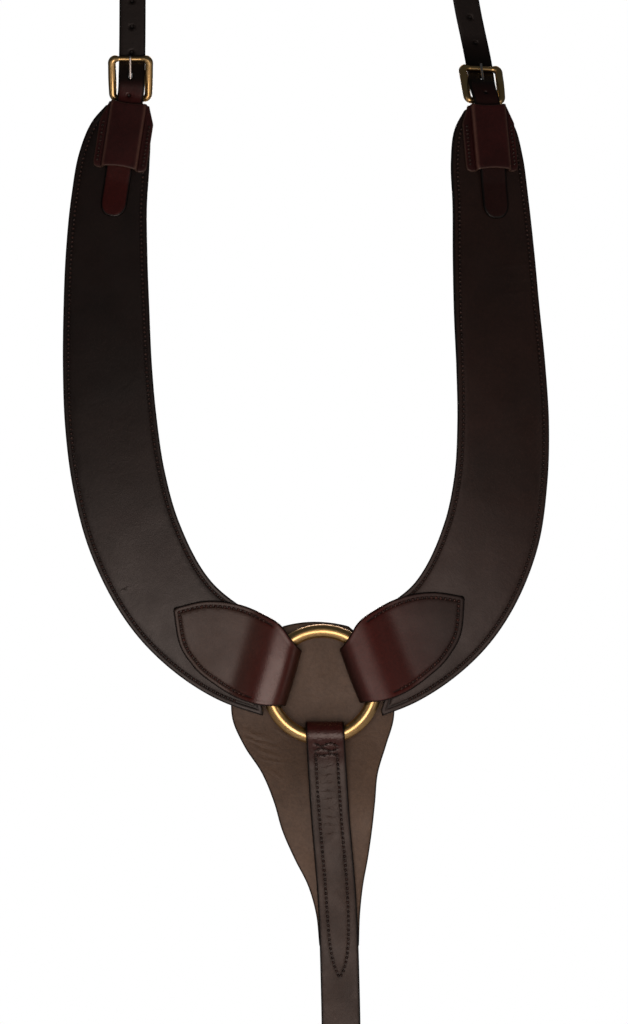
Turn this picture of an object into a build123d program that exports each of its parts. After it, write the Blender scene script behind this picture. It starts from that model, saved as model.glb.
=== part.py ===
from build123d import *
import os
from math import cos, radians, sin, tan

os.makedirs("parts", exist_ok=True)

# A horse's breastplate in stitched leather and brass, hanging upright.
# Origin: centre of the centre ring.  +Z up, +X to the right seen from the front,
# and the front (hair-off side) faces -Y.  Millimetres.

# Centre ring
RING_RADIUS = 38.5
RING_WIRE = 5.0

# Shoulder pieces: two layers of leather, stitched together
SHOULDER_LAYER = 2.5
SHOULDER_RING_CLEARANCE = 46.0
EDGE_TO_STITCH = 4.0
# Centreline and width of each shoulder, from the ring to the buckle:
# height, distance out from the middle, width across
SHOULDER_STATIONS = {
    "left": [
        (5.5, 30.5, 61), (18.7, 60.5, 66), (50, 102.3, 66), (106.3, 135, 67.5), (147, 146.2, 67.2),
        (188, 152, 66.3), (228, 154.6, 64.2), (268, 155.4, 62), (308, 155.4, 59), (349, 153.6, 54.8),
        (379, 149.9, 51.4), (399, 145.6, 44.2), (415, 141.8, 28),
    ],
    "right": [
        (5, 28.2, 63), (18.5, 52.6, 69.5), (49.4, 92, 69.5), (106, 121.2, 69.5), (146.6, 128.6, 67),
        (188, 130.4, 65.7), (228, 128.8, 63.7), (268, 126, 61.4), (308, 123.8, 58.5),
        (349, 121.5, 54.3), (379, 118.9, 51.4), (399, 117.4, 44.6), (415, 117, 28),
    ],
}
# Direction of the bend from vertical, where it starts, its length, and its angle
BEND = {"left": (12.0, 82.0, 200.0, 15.0), "right": (42.0, 114.0, 170.0, 23.0)}

# Ring chapes: leather folded round the centre ring and sewn over the shoulder's end
CHAPE_LEATHER = 2.8
CHAPE_POCKET = 8.5
CHAPE_FOLD = 20.6
CHAPE_AXIS = 34.1
CHAPE_REACH = 67.0
# The leaf's edges, from the fold to its point and back: distance out, distance up the fold
CHAPE_UPPER_EDGE = [(15, 18.5), (23, 20.2), (30.6, 25.2), (38, 31.2), (56, 37), (79, 38.4), (98, 34.1),
                    (118.5, 22.8)]
CHAPE_LOWER_EDGE = [(118.5, 22.8), (108.5, 1.6), (93.8, -12.8), (73.8, -22), (49.6, -27.2),
                    (35.4, -26.4), (23, -22.6), (15, -21.5)]
CHAPE_DIRECTION = {"left": 16.3, "right": 20.8}

# Saddle straps, their buckles and box loops
STRAP_WIDTH = 19.0
STRAP_LEATHER = 3.0
HEEL_BAR = 2.0
TOE_BAR = 1.9
BUCKLE_REACH = 29.0
BUCKLE_BOW = 3.0
BUCKLE_SIDE_GAP = 3.2
SIDE_BAR = 2.5
KNOB = 3.0
BUCKLE_CHAPE_LEATHER = 2.0
HEEL_BAR_CLEARANCE = 0.5
STRAP_OVER_HEEL = 6.2
STRAP_BEHIND_TOE = -0.8
HOLE_RADIUS = 1.7
HOLE_PITCH = 18.5
BOX_LOOP_TOP = 4.5
BOX_LOOP_LENGTH = 48.0
BOX_LOOP_LEATHER = 2.0
TONGUE_WIDTH = 2.4
HEEL_PLACE = {"left": (138.2, 422.5), "right": (117.6, 421.0)}
HEEL_LEAN = {"left": 1.0, "right": 2.0}
BOX_LOOP_LEAN = {"left": 8.5, "right": 5.0}
# How far each buckle is turned about its heel bar from the shoulder's own plane
BUCKLE_TURN = {"left": 15.0, "right": -24.0}
SADDLE_STRAP_LENGTH = 235.0
# Centreline of each saddle strap: height, distance out from the middle
SADDLE_STRAP_CENTRE = {
    "left": [(415, 138.2), (450, 137.2), (500, 136.8), (760, 136.8)],
    "right": [(415, 117.7), (448, 113.5), (487, 105.5), (760, 84.0)],
}
STRAP_TURN = 50.0
# Sewn eye at a saddle strap's top: depth to each side, where its legs run, length of its lap
EYE_FRONT = 11.0
EYE_LEGS = (16.0, 42.0)
EYE_LAP = 34.0
# The strap's point below the heel bar: its tip, where its taper starts, and its hole
POINT_TIP = -87.0
POINT_TAPER = -76.0
POINT_HOLE = -66.0
# The slot that lets the tongue through a strap: distance up from the heel bar, length
TONGUE_SLOT_PLACE = 14.8
TONGUE_SLOT = 16.4

# Girth strap: folded round the ring, down to an adjustable girth loop
GIRTH_WIDTH = 28.0
GIRTH_LEATHER = 2.8
GIRTH_AXIS = -36.6
GIRTH_POCKET = 7.4
# Centreline of the girth strap: height, distance to the right
GIRTH_CENTRE = [(-20, 1.4), (-90, 5.6), (-155, 10.8), (-227, 13.3), (-330, 14.2), (-640, 14.2)]
GIRTH_LOOP_BOTTOM = -592.0
GIRTH_LOOP_DEPTH = 46.0
GIRTH_HEEL = -432.0
TURN_BACK_END = -211.0
GIRTH_POINT_END = -325.0
GIRTH_HOLE_PITCH = 25.0
GIRTH_STITCH_TOP = -64.0
GIRTH_STITCH_CORNER = -189.0
KEEPER_LEATHER = 2.0
# Middle of each keeper's back wall, from the girth buckle's heel bar towards the front
FIXED_KEEPER_BACK = 0.65
SLIDING_KEEPER_BACK = -8.7

# Safe: the wide leather shield behind the ring
SAFE_LEATHER = 3.0
SAFE_FRONT = 13.8
# Outline of the safe: height, left edge, right edge
SAFE_OUTLINE = [
    (42, -28, 19),
    (22, -54.5, 42),
    (-3, -64.5, 51),
    (-24, -64.8, 51.8),
    (-44, -56.3, 46.1),
    (-64, -43.3, 40.2),
    (-85, -34.6, 38.2),
    (-105, -28.8, 36),
    (-125, -20.1, 33.1),
    (-145, -10.1, 29.5),
    (-165, -4.4, 27.4),
    (-188, -2.0, 26.6),
]

THREAD = 0.5
THREAD_WIDTH = 0.9
# Cutting distances: far enough to pass through any piece, or to run past its end
THROUGH = 200.0
RUN_OUT = 260.0

SIDES = {"left": -1, "right": 1}


def fold(points, radii, thickness):
    """The side profile of a strap: a path with rounded corners, made thick."""
    with BuildLine() as path:
        FilletPolyline(*points, radius=radii)
    trace(path.line, line_width=thickness)


# ---------------------------------------------------------------- shoulders


def bend_direction(side):
    lean = radians(BEND[side][0])
    return Vector(SIDES[side] * sin(lean), 0, cos(lean))


def bend_profile(side, near, far):
    """Side profile of one layer of a shoulder, between two heights off its middle.

    It lies in the plane that holds Y and the direction the shoulder bends along.
    """
    _, start, length, angle = BEND[side]
    turn = radians(angle)
    bend_radius = length / sin(turn)
    along = bend_direction(side)
    across = Vector(-along.Z, 0, along.X)
    plane = Plane(origin=along * start, x_dir=along, z_dir=across)
    def arc_point(angle, height):
        radius = bend_radius - height
        return (radius * sin(angle), bend_radius - radius * cos(angle))

    def top_point(height):
        x, y = arc_point(turn, height)
        return (x + RUN_OUT * cos(turn), y + RUN_OUT * sin(turn))

    with BuildSketch(plane) as profile:
        with BuildLine():
            Line((-RUN_OUT, near), (0, near))
            ThreePointArc((0, near), arc_point(turn / 2, near), arc_point(turn, near))
            Line(arc_point(turn, near), top_point(near))
            Line(top_point(near), top_point(far))
            Line(top_point(far), arc_point(turn, far))
            ThreePointArc(arc_point(turn, far), arc_point(turn / 2, far), (0, far))
            Line((0, far), (-RUN_OUT, far))
            Line((-RUN_OUT, far), (-RUN_OUT, near))
        make_face()
    return profile.sketch


def shoulder_outline(side, inset=0.0):
    """Front view of a shoulder, on the XZ plane, with its end hollowed round the ring."""
    sign = SIDES[side]
    middle = [Vector(sign * out, height) for height, out, _ in SHOULDER_STATIONS[side]]
    if inset:
        middle[-1] -= Vector(0, inset)
    before = [middle[0]] + middle[:-1]
    after = middle[1:] + [middle[-1]]
    first_edge, second_edge = [], []
    for place, previous, following, row in zip(middle, before, after, SHOULDER_STATIONS[side]):
        along = (following - previous).normalized()
        across = Vector(-along.Y, along.X) * (row[2] / 2 - inset)
        first_edge.append(((place + across).X, (place + across).Y))
        second_edge.append(((place - across).X, (place - across).Y))
    with BuildSketch(Plane.XZ) as outline:
        with BuildLine():
            Spline(*first_edge)
            Line(first_edge[-1], second_edge[-1])
            Spline(*reversed(second_edge))
            Line(second_edge[0], first_edge[0])
        make_face()
        Circle(SHOULDER_RING_CLEARANCE + inset, mode=Mode.SUBTRACT)
    return outline.sketch


def make_shoulder_layer(side, near, far):
    with BuildPart() as layer:
        extrude(shoulder_outline(side), amount=THROUGH, both=True)
        extrude(bend_profile(side, near, far), amount=2.5 * THROUGH, both=True, mode=Mode.INTERSECT)
    return layer


def make_shoulder_stitching(side):
    """The row of thread that goes round inside the shoulder's edge, on both faces."""
    with BuildPart() as faces:
        extrude(bend_profile(side, -SHOULDER_LAYER - THREAD, -SHOULDER_LAYER), amount=500, both=True)
        extrude(bend_profile(side, SHOULDER_LAYER, SHOULDER_LAYER + THREAD), amount=500, both=True)
    with BuildPart() as thread:
        extrude(shoulder_outline(side, EDGE_TO_STITCH), amount=THROUGH, both=True)
        inner = shoulder_outline(side, EDGE_TO_STITCH + THREAD_WIDTH)
        extrude(inner, amount=THROUGH, both=True, mode=Mode.SUBTRACT)
        add(faces.part, mode=Mode.INTERSECT)
        extrude(chape_outline(side, -0.5), amount=20, both=True, mode=Mode.SUBTRACT)
        with BuildSketch(Plane.XZ) as near_ring:
            Circle(CHAPE_REACH)
        extrude(near_ring.sketch, amount=20, both=True, mode=Mode.SUBTRACT)
        extrude(box_loop_outline(side), amount=20, both=True, mode=Mode.SUBTRACT)
        with BuildSketch(box_loop_plane(side)) as neck:
            with Locations((0, -4)):
                Rectangle(60, 32)
        extrude(neck.sketch, amount=20, both=True, mode=Mode.SUBTRACT)
    return thread


# ---------------------------------------------------------------- ring and its chapes


def make_ring():
    with BuildPart() as ring:
        Torus(RING_RADIUS, RING_WIRE, rotation=(90, 0, 0))
    return ring


def chape_directions(side):
    """Unit vectors along the chape, away from the ring, and up along its fold."""
    sign = SIDES[side]
    angle = radians(CHAPE_DIRECTION[side])
    out = Vector(sign * cos(angle), 0, sin(angle))
    up = Vector(-sign * sin(angle), 0, cos(angle))
    return out, up


def inset_edge(points, inset):
    """Move each point of an edge to its right by the inset, square to the edge."""
    places = [Vector(*point) for point in points]
    before = [places[0]] + places[:-1]
    after = places[1:] + [places[-1]]
    moved = []
    for place, previous, following in zip(places, before, after):
        along = (following - previous).normalized()
        moved.append(place + Vector(along.Y, -along.X) * inset)
    return moved


def meeting_point(first, second, third, fourth):
    """Where the line through the first two points crosses the one through the last two."""
    run, other = second - first, fourth - third
    share = (third - first).cross(other).Z / run.cross(other).Z
    return first + run * share


def chape_outline(side, inset=0.0):
    """Front view of a ring chape: a leaf with its point outwards, and a straight fold."""
    out, up = chape_directions(side)
    upper = inset_edge(CHAPE_UPPER_EDGE, inset)
    lower = inset_edge(CHAPE_LOWER_EDGE, inset)
    tip = meeting_point(upper[-2], upper[-1], lower[0], lower[1])
    upper[-1], lower[0] = tip, tip
    with BuildSketch(Plane(origin=(0, 0, 0), x_dir=out, z_dir=out.cross(up))) as outline:
        with BuildLine():
            Spline(*upper)
            Spline(*lower)
            Line(lower[-1], upper[0])
        make_face()
    return outline.sketch


def make_ring_chape(side):
    out, up = chape_directions(side)
    leaf = SHOULDER_LAYER + CHAPE_LEATHER / 2
    bulge = CHAPE_POCKET + CHAPE_LEATHER / 2
    fold_line = CHAPE_FOLD + CHAPE_LEATHER / 2
    leaf_start, bulge_end = 62.0, CHAPE_AXIS + 4
    half = [(THROUGH, leaf), (leaf_start, leaf), (bulge_end, bulge), (fold_line, bulge)]
    path = half + [(x, -y) for x, y in reversed(half)]
    radii = [25, 6, bulge - 1.6, bulge - 1.6, 6, 25]
    with BuildSketch(Plane(origin=(0, 0, 0), x_dir=out, z_dir=out.cross(Vector(0, 1, 0)))) as profile:
        fold(path, radii, CHAPE_LEATHER)
    with BuildPart() as chape:
        extrude(profile.sketch, amount=80, both=True)
        extrude(chape_outline(side), amount=40, both=True, mode=Mode.INTERSECT)
    return chape


def make_chape_stitching(side):
    """Thread inside the leaf's edge, on the front and the back leaf, past the bulge."""
    out, up = chape_directions(side)
    surface = SHOULDER_LAYER + CHAPE_LEATHER
    with BuildPart() as thread:
        extrude(chape_outline(side, EDGE_TO_STITCH), amount=surface + THREAD, both=True)
        inner = chape_outline(side, EDGE_TO_STITCH + THREAD_WIDTH)
        extrude(inner, amount=40, both=True, mode=Mode.SUBTRACT)
        with BuildSketch(Plane.XZ) as leather:
            Rectangle(400, 400)
        extrude(leather.sketch, amount=surface, both=True, mode=Mode.SUBTRACT)
        with BuildSketch(Plane(origin=(0, 0, 0), x_dir=out, z_dir=out.cross(up))) as bulge:
            Rectangle(2 * CHAPE_REACH, 120)
        extrude(bulge.sketch, amount=40, both=True, mode=Mode.SUBTRACT)
    return thread


# ---------------------------------------------------------------- buckles


def shoulder_top_plane(side):
    """Plane at the heel bar's centre: x along the bar, y up the strap, z to the front."""
    sign = SIDES[side]
    out, height = HEEL_PLACE[side]
    _, start, length, angle = BEND[side]
    turn = radians(angle)
    bend = bend_direction(side)
    past_arc = Vector(sign * out, 0, height).dot(bend) - start - length
    depth = length * tan(turn / 2) + past_arc * tan(turn)
    strap = Vector(-sign * sin(radians(HEEL_LEAN[side])), 0, cos(radians(HEEL_LEAN[side])))
    strap += Vector(0, tan(turn) * strap.dot(bend), 0)
    front = (bend * tan(turn) + Vector(0, -1, 0)).normalized()
    bar = strap.cross(front).normalized()
    return Plane(origin=(sign * out, depth, height), x_dir=bar, z_dir=front)


def box_loop_plane(side):
    """The shoulder's own plane at the heel bar, turned to run down the box loop."""
    top = shoulder_top_plane(side)
    twist = SIDES[side] * (BOX_LOOP_LEAN[side] - HEEL_LEAN[side])
    turn = radians(twist)
    return Plane(origin=top.origin, x_dir=top.x_dir * cos(turn) + top.y_dir * sin(turn), z_dir=top.z_dir)


def buckle_plane(side):
    top = shoulder_top_plane(side)
    turn = radians(BUCKLE_TURN[side])
    return Plane(origin=top.origin, x_dir=top.x_dir, z_dir=top.z_dir * cos(turn) - top.y_dir * sin(turn))


def side_view(plane):
    """The plane seen along the heel bar: x up the strap, y to the front."""
    return Plane(origin=plane.origin, x_dir=plane.y_dir, z_dir=plane.x_dir)


def end_view(plane, distance):
    """The plane across the strap at a distance up it: x along the bar, y to the front."""
    origin = plane.origin + plane.y_dir * distance
    return Plane(origin=origin, x_dir=plane.x_dir, z_dir=-plane.y_dir)


def make_buckle_frame(plane, width):
    """Cast frame: heel bar, bowed sides with round knobs at the top, thinner toe bar."""
    half = width / 2 + BUCKLE_SIDE_GAP
    toe_half = half + 0.7
    top = Vector(toe_half, BUCKLE_REACH, BUCKLE_BOW)
    with BuildPart() as frame:
        with BuildSketch(side_view(plane)):
            Circle(HEEL_BAR)
        extrude(amount=half, both=True)
        toe_plane = Plane(origin=plane.from_local_coords((0, BUCKLE_REACH, BUCKLE_BOW)),
                          x_dir=plane.y_dir, z_dir=plane.x_dir)
        with BuildSketch(toe_plane):
            Circle(TOE_BAR)
        extrude(amount=toe_half, both=True)
        for hand in (-1, 1):
            low = plane.from_local_coords((hand * half, 0, 0))
            high = plane.from_local_coords((hand * top.X, top.Y, top.Z))
            way = high - low
            low_end = Plane(origin=low, z_dir=way)
            high_end = Plane(origin=high, z_dir=way)
            with BuildSketch(low_end):
                Circle(HEEL_BAR)
            with BuildSketch(high_end):
                Circle(SIDE_BAR)
            loft()
            with Locations(high):
                Sphere(KNOB)
            with Locations(low):
                Sphere(SIDE_BAR)
    return frame


def make_buckle_tongue(plane):
    """Tongue: an eye round the heel bar and a bar whose tip rests on the toe bar."""
    eye = HEEL_BAR + 0.08
    wall = 1.3
    slope = (BUCKLE_BOW + TOE_BAR + TONGUE_WIDTH / 2 + 0.1 - 2) / BUCKLE_REACH
    with BuildPart() as tongue:
        with BuildSketch(side_view(plane)) as profile:
            Circle(eye + wall)
            with BuildLine(mode=Mode.PRIVATE) as bar:
                Line((0, 2), (BUCKLE_REACH + 2.2, 2 + slope * (BUCKLE_REACH + 2.2)))
            trace(bar.line, line_width=TONGUE_WIDTH)
            Circle(eye, mode=Mode.SUBTRACT)
        extrude(profile.sketch, amount=TONGUE_WIDTH / 2, both=True)
    return tongue


def make_buckle_chape(plane, width, path):
    """Leather folded round the heel bar, with a slot in the middle for the tongue."""
    inner = HEEL_BAR + HEEL_BAR_CLEARANCE
    middle = inner + BUCKLE_CHAPE_LEATHER / 2
    corner = 0.93 * middle
    radii = [4] * (path.index((middle, -middle)) - 1) + [corner] * 2
    radii += [4] * (len(path) - 2 - len(radii))
    with BuildPart() as chape:
        with BuildSketch(side_view(plane)) as profile:
            fold(path, radii, BUCKLE_CHAPE_LEATHER)
        extrude(profile.sketch, amount=width / 2, both=True)
        with BuildSketch(plane) as slot:
            with Locations((0, 1)):
                SlotOverall(14, TONGUE_WIDTH + 1.4, rotation=90)
        extrude(slot.sketch, amount=20, both=True, mode=Mode.SUBTRACT)
    return chape


def make_shoulder_buckle_chape(side):
    """Its two legs lie on the shoulder's front and back."""
    middle = HEEL_BAR + HEEL_BAR_CLEARANCE + BUCKLE_CHAPE_LEATHER / 2
    legs = 40.0
    path = [(-legs, -middle), (middle, -middle), (middle, middle), (-legs, middle)]
    chape = make_buckle_chape(shoulder_top_plane(side), STRAP_WIDTH - 1, path)
    inside = STRAP_WIDTH / 2 + 0.3
    with BuildPart() as trimmed:
        add(chape.part)
        with BuildSketch(box_loop_plane(side)) as tunnel:
            Polygon((-inside, -legs), (inside, -legs), (inside, -3), (14, 0), (14, 14), (-14, 14),
                    (-14, 0), (-inside, -3), align=None)
        extrude(tunnel.sketch, amount=20, both=True, mode=Mode.INTERSECT)
    return trimmed


def offset_at(centreline, height):
    """A centreline's distance across at a height, read between its points."""
    for (one, offset_one), (other, offset_other) in zip(centreline, centreline[1:]):
        if min(one, other) <= height <= max(one, other):
            return offset_one + (height - one) / (other - one) * (offset_other - offset_one)
    return centreline[-1][1]


def saddle_strap_offset(side, height):
    return SIDES[side] * offset_at(SADDLE_STRAP_CENTRE[side], height)


def saddle_strap_outline(side, half_width=STRAP_WIDTH / 2):
    """Front view of a saddle strap: a band that follows its centreline."""
    centre = [(SIDES[side] * out, height) for height, out in SADDLE_STRAP_CENTRE[side]]
    with BuildSketch(Plane.XZ) as outline:
        with BuildLine():
            Spline(*[(x - half_width, z) for x, z in centre])
            Line((centre[-1][0] - half_width, centre[-1][1]), (centre[-1][0] + half_width, centre[-1][1]))
            Spline(*[(x + half_width, z) for x, z in reversed(centre)])
            Line((centre[0][0] + half_width, centre[0][1]), (centre[0][0] - half_width, centre[0][1]))
        make_face()
    return outline.sketch


def make_saddle_strap(side):
    """From the heel bar up through the buckle, behind the toe bar, to its sewn eye."""
    plane = buckle_plane(side)
    up = Vector(plane.y_dir.Z, plane.z_dir.Z).normalized()
    back = Vector(up.Y, -up.X)
    lap = STRAP_LEATHER + 0.05
    turn = Vector(STRAP_TURN, STRAP_BEHIND_TOE)
    top = turn + up * (SADDLE_STRAP_LENGTH - STRAP_TURN)
    leg_start, leg_end = EYE_LEGS
    path = [
        Vector(3, STRAP_OVER_HEEL),
        Vector(11, STRAP_OVER_HEEL),
        Vector(28, STRAP_BEHIND_TOE),
        turn,
        top,
        top + up * leg_start - back * EYE_FRONT,
        top + up * leg_end - back * EYE_FRONT,
        top + up * leg_end + back * (EYE_FRONT + lap),
        top + up * leg_start + back * (EYE_FRONT + lap),
        top + back * lap,
        top + back * lap - up * EYE_LAP,
    ]
    radii = [8, 8, 30, 10, 8, 11.5, 11.5, 8, 10]
    first_hole = plane.origin.Z + STRAP_TURN + HOLE_PITCH / 2
    holes_at = [(saddle_strap_offset(side, z), z) for z in [first_hole + i * HOLE_PITCH for i in range(6)]]
    with BuildPart() as strap:
        with BuildSketch(side_view(plane)) as profile:
            fold([(p.X, p.Y) for p in path], radii, STRAP_LEATHER)
        extrude(profile.sketch, amount=70, both=True)
        extrude(saddle_strap_outline(side), amount=THROUGH, both=True, mode=Mode.INTERSECT)
        with BuildSketch(plane) as slot:
            with Locations((0, TONGUE_SLOT_PLACE)):
                SlotOverall(TONGUE_SLOT, TONGUE_WIDTH + 1.0, rotation=90)
        extrude(slot.sketch, amount=12, both=True, mode=Mode.SUBTRACT)
        with BuildSketch(Plane.XZ) as holes:
            with Locations(*holes_at):
                Circle(HOLE_RADIUS)
        extrude(holes.sketch, amount=THROUGH, both=True, mode=Mode.SUBTRACT)
    return strap


def make_strap_point(side):
    """The saddle strap's end, below the heel bar, held down by the box loop."""
    plane = box_loop_plane(side)
    over = STRAP_OVER_HEEL
    half = STRAP_WIDTH / 2
    round_side = (half * 0.62, POINT_TIP + 3.6)
    with BuildSketch(plane) as outline:
        with BuildLine():
            Line((-half, -2), (half, -2))
            Line((half, -2), (half, POINT_TAPER))
            ThreePointArc((half, POINT_TAPER), round_side, (0, POINT_TIP))
            ThreePointArc((0, POINT_TIP), (-round_side[0], round_side[1]), (-half, POINT_TAPER))
            Line((-half, POINT_TAPER), (-half, -2))
        make_face()
    with BuildPart() as point:
        with BuildSketch(side_view(plane)) as profile:
            fold([(-4, over), (-46, over), (-64, 4.1), (-100, 4.1)], [20, 20], STRAP_LEATHER)
        extrude(profile.sketch, amount=STRAP_WIDTH, both=True)
        extrude(outline.sketch, amount=40, both=True, mode=Mode.INTERSECT)
        with BuildSketch(plane) as hole:
            with Locations((0, POINT_HOLE)):
                Circle(HOLE_RADIUS)
        extrude(hole.sketch, amount=12, both=True, mode=Mode.SUBTRACT)
    return point


def box_loop_outline(side):
    """Front view of the box loop's flanges, narrow at the shoulder's neck."""
    bottom = BOX_LOOP_TOP + BOX_LOOP_LENGTH
    with BuildSketch(box_loop_plane(side)) as outline:
        Polygon((-14, -BOX_LOOP_TOP), (-19, -18), (-19, 4 - bottom), (-16, -bottom), (16, -bottom),
                (19, 4 - bottom), (19, -18), (14, -BOX_LOOP_TOP), align=None)
    return outline.sketch


def make_box_loop(side):
    """Long moulded loop: a flat-topped tunnel over the strap, with sewn flanges."""
    plane = box_loop_plane(side)
    middle = SHOULDER_LAYER + BOX_LOOP_LEATHER / 2
    roof = STRAP_OVER_HEEL + STRAP_LEATHER / 2 + 0.3 + BOX_LOOP_LEATHER / 2
    wall = STRAP_WIDTH / 2 + 0.5 + BOX_LOOP_LEATHER / 2
    path = [(-24, middle), (-wall, middle), (-wall, roof), (wall, roof), (wall, middle), (24, middle)]
    with BuildPart() as loop:
        with BuildSketch(end_view(plane, -BOX_LOOP_TOP)) as hat:
            fold(path, [1.5, 1.6, 1.6, 1.5], BOX_LOOP_LEATHER)
        extrude(hat.sketch, amount=BOX_LOOP_LENGTH)
        extrude(box_loop_outline(side), amount=20, both=True, mode=Mode.INTERSECT)
    return loop


def thread_line(plane, start, end):
    """A straight row of thread, lying on this plane."""
    with BuildPart() as row:
        with BuildSketch(plane) as line_face:
            with BuildLine(mode=Mode.PRIVATE) as line:
                Line(start, end)
            trace(line.line, line_width=THREAD_WIDTH)
        extrude(line_face.sketch, amount=THREAD)
    return row


def make_box_loop_stitching(side):
    surface = box_loop_plane(side).offset(SHOULDER_LAYER + BOX_LOOP_LEATHER)
    start, end = -20.0, 3 - BOX_LOOP_TOP - BOX_LOOP_LENGTH
    with BuildPart() as thread:
        add(thread_line(surface, (-16.2, start), (-16.2, end)).part)
        add(thread_line(surface, (16.2, start), (16.2, end)).part)
    return thread


# ---------------------------------------------------------------- safe and girth strap


def girth_offset(height):
    """How far right of the centre the girth strap's middle is, at this height."""
    return offset_at(GIRTH_CENTRE, height)


def girth_outline(half_width):
    """Front view of the girth strap: a long band that follows its centreline."""
    with BuildSketch(Plane.XZ) as outline:
        with BuildLine():
            Spline(*[(right - half_width, height) for height, right in GIRTH_CENTRE])
            Line((GIRTH_CENTRE[-1][1] - half_width, -640), (GIRTH_CENTRE[-1][1] + half_width, -640))
            Spline(*[(right + half_width, height) for height, right in reversed(GIRTH_CENTRE)])
            Line((GIRTH_CENTRE[0][1] + half_width, -20), (GIRTH_CENTRE[0][1] - half_width, -20))
        make_face()
    return outline.sketch


def make_safe():
    left = [(row[1], row[0]) for row in SAFE_OUTLINE]
    right = [(row[2], row[0]) for row in SAFE_OUTLINE]
    middle = SAFE_FRONT + SAFE_LEATHER / 2
    sewn = GIRTH_LEATHER + 0.05 + SAFE_LEATHER / 2
    with BuildSketch(Plane.XZ) as outline:
        with BuildLine():
            Spline(*left)
            Line(left[-1], right[-1])
            Spline(*reversed(right))
            ThreePointArc(right[0], (-5, 45.2), left[0])
        make_face()
    with BuildPart() as safe:
        with BuildSketch(Plane.YZ) as profile:
            fold([(middle, 60), (middle, -44), (sewn, -76), (sewn, -240)], [30, 30], SAFE_LEATHER)
        extrude(profile.sketch, amount=120, both=True)
        extrude(outline.sketch, amount=60, both=True, mode=Mode.INTERSECT)
    return safe


def girth_plane():
    """Plane at the girth buckle's heel bar: y points down to the toe bar, z to the front."""
    depth = -GIRTH_LEATHER - 2.5 - BUCKLE_CHAPE_LEATHER
    return Plane(origin=(girth_offset(GIRTH_HEEL), depth, GIRTH_HEEL), x_dir=(-1, 0, 0), z_dir=(0, -1, 0))


def pointed_end(tip, length, far, near):
    """What is cut away to point a strap's end, between two depths.

    length is positive where the end points up, and negative where it points down.
    """
    middle = girth_offset(tip)
    half = GIRTH_WIDTH / 2 + 0.5
    with BuildPart() as waste:
        for hand in (-1, 1):
            edge = middle + hand * half
            outer = middle + hand * (half + 8)
            with BuildSketch(Plane.XZ.offset(-far)) as corner:
                Polygon((middle, tip), (edge, tip - length), (outer, tip - length), (outer, tip + length),
                        (middle, tip + length), align=None)
            extrude(corner.sketch, amount=far - near)
    return waste


def make_girth_strap():
    """One long strap: round the ring, down, round the girth, and up through its buckle."""
    half = GIRTH_LEATHER / 2
    bulge = GIRTH_POCKET + half
    top = GIRTH_AXIS + GIRTH_POCKET + half
    heel = girth_plane().origin.Y
    over, behind = heel - STRAP_OVER_HEEL, heel - STRAP_BEHIND_TOE
    path = [
        (half + 0.05, TURN_BACK_END), (half + 0.05, -62), (bulge, -44), (bulge, top),
        (-bulge, top), (-bulge, -44), (-half, -62), (-half, GIRTH_LOOP_BOTTOM),
        (-GIRTH_LOOP_DEPTH, GIRTH_LOOP_BOTTOM), (-GIRTH_LOOP_DEPTH, -545), (behind, -485),
        (behind, GIRTH_HEEL - 28), (over, GIRTH_HEEL - 11), (over, GIRTH_POINT_END),
    ]
    radii = [12, 6, 8, 8, 6, 12, 21, 21, 40, 20, 8, 8]
    with BuildPart() as strap:
        with BuildSketch(Plane.YZ) as profile:
            fold(path, radii, GIRTH_LEATHER)
        extrude(profile.sketch, amount=60, both=True)
        extrude(girth_outline(GIRTH_WIDTH / 2), amount=80, both=True, mode=Mode.INTERSECT)
        turn_back_point = pointed_end(TURN_BACK_END, TURN_BACK_END - GIRTH_STITCH_CORNER, 3.2, 0.02)
        add(turn_back_point.part, mode=Mode.SUBTRACT)
        add(pointed_end(GIRTH_POINT_END, 14, over + 3, over - 3).part, mode=Mode.SUBTRACT)
        with BuildSketch(girth_plane().offset(-3.4)) as slot:
            with Locations((0, TONGUE_SLOT_PLACE)):
                SlotOverall(TONGUE_SLOT, TONGUE_WIDTH + 1.4, rotation=90)
        extrude(slot.sketch, amount=14, mode=Mode.SUBTRACT)
        with BuildSketch(girth_plane().offset(-3.4)) as holes:
            with Locations(*[(0, TONGUE_SLOT_PLACE - i * GIRTH_HOLE_PITCH) for i in (1, 2, 3)]):
                Circle(HOLE_RADIUS)
        extrude(holes.sketch, amount=14, mode=Mode.SUBTRACT)
    return strap


def make_girth_buckle_chape():
    """Both legs lie together on the front of the girth strap."""
    middle = HEEL_BAR + HEEL_BAR_CLEARANCE + BUCKLE_CHAPE_LEATHER / 2
    lap = BUCKLE_CHAPE_LEATHER + 0.05
    path = [(-52, -middle), (middle, -middle), (middle, middle), (-4, middle),
            (-16, -middle + lap), (-52, -middle + lap)]
    return make_buckle_chape(girth_plane(), GIRTH_WIDTH - 2, path)


def make_girth_keeper(distance, behind, bar_width):
    """A closed leather band round the strap's point, square to the strap."""
    wall = GIRTH_WIDTH / 2 + 0.4 + KEEPER_LEATHER / 2
    front = STRAP_OVER_HEEL + GIRTH_LEATHER / 2 + 0.2 + KEEPER_LEATHER / 2
    centre = (front + behind) / 2
    with BuildPart() as keeper:
        with BuildSketch(end_view(girth_plane(), -distance)) as band:
            with Locations((0, centre)):
                RectangleRounded(2 * wall + KEEPER_LEATHER, front - behind + KEEPER_LEATHER, 2)
                Rectangle(2 * wall - KEEPER_LEATHER, front - behind - KEEPER_LEATHER, mode=Mode.SUBTRACT)
        extrude(band.sketch, amount=bar_width)
    return keeper


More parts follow.
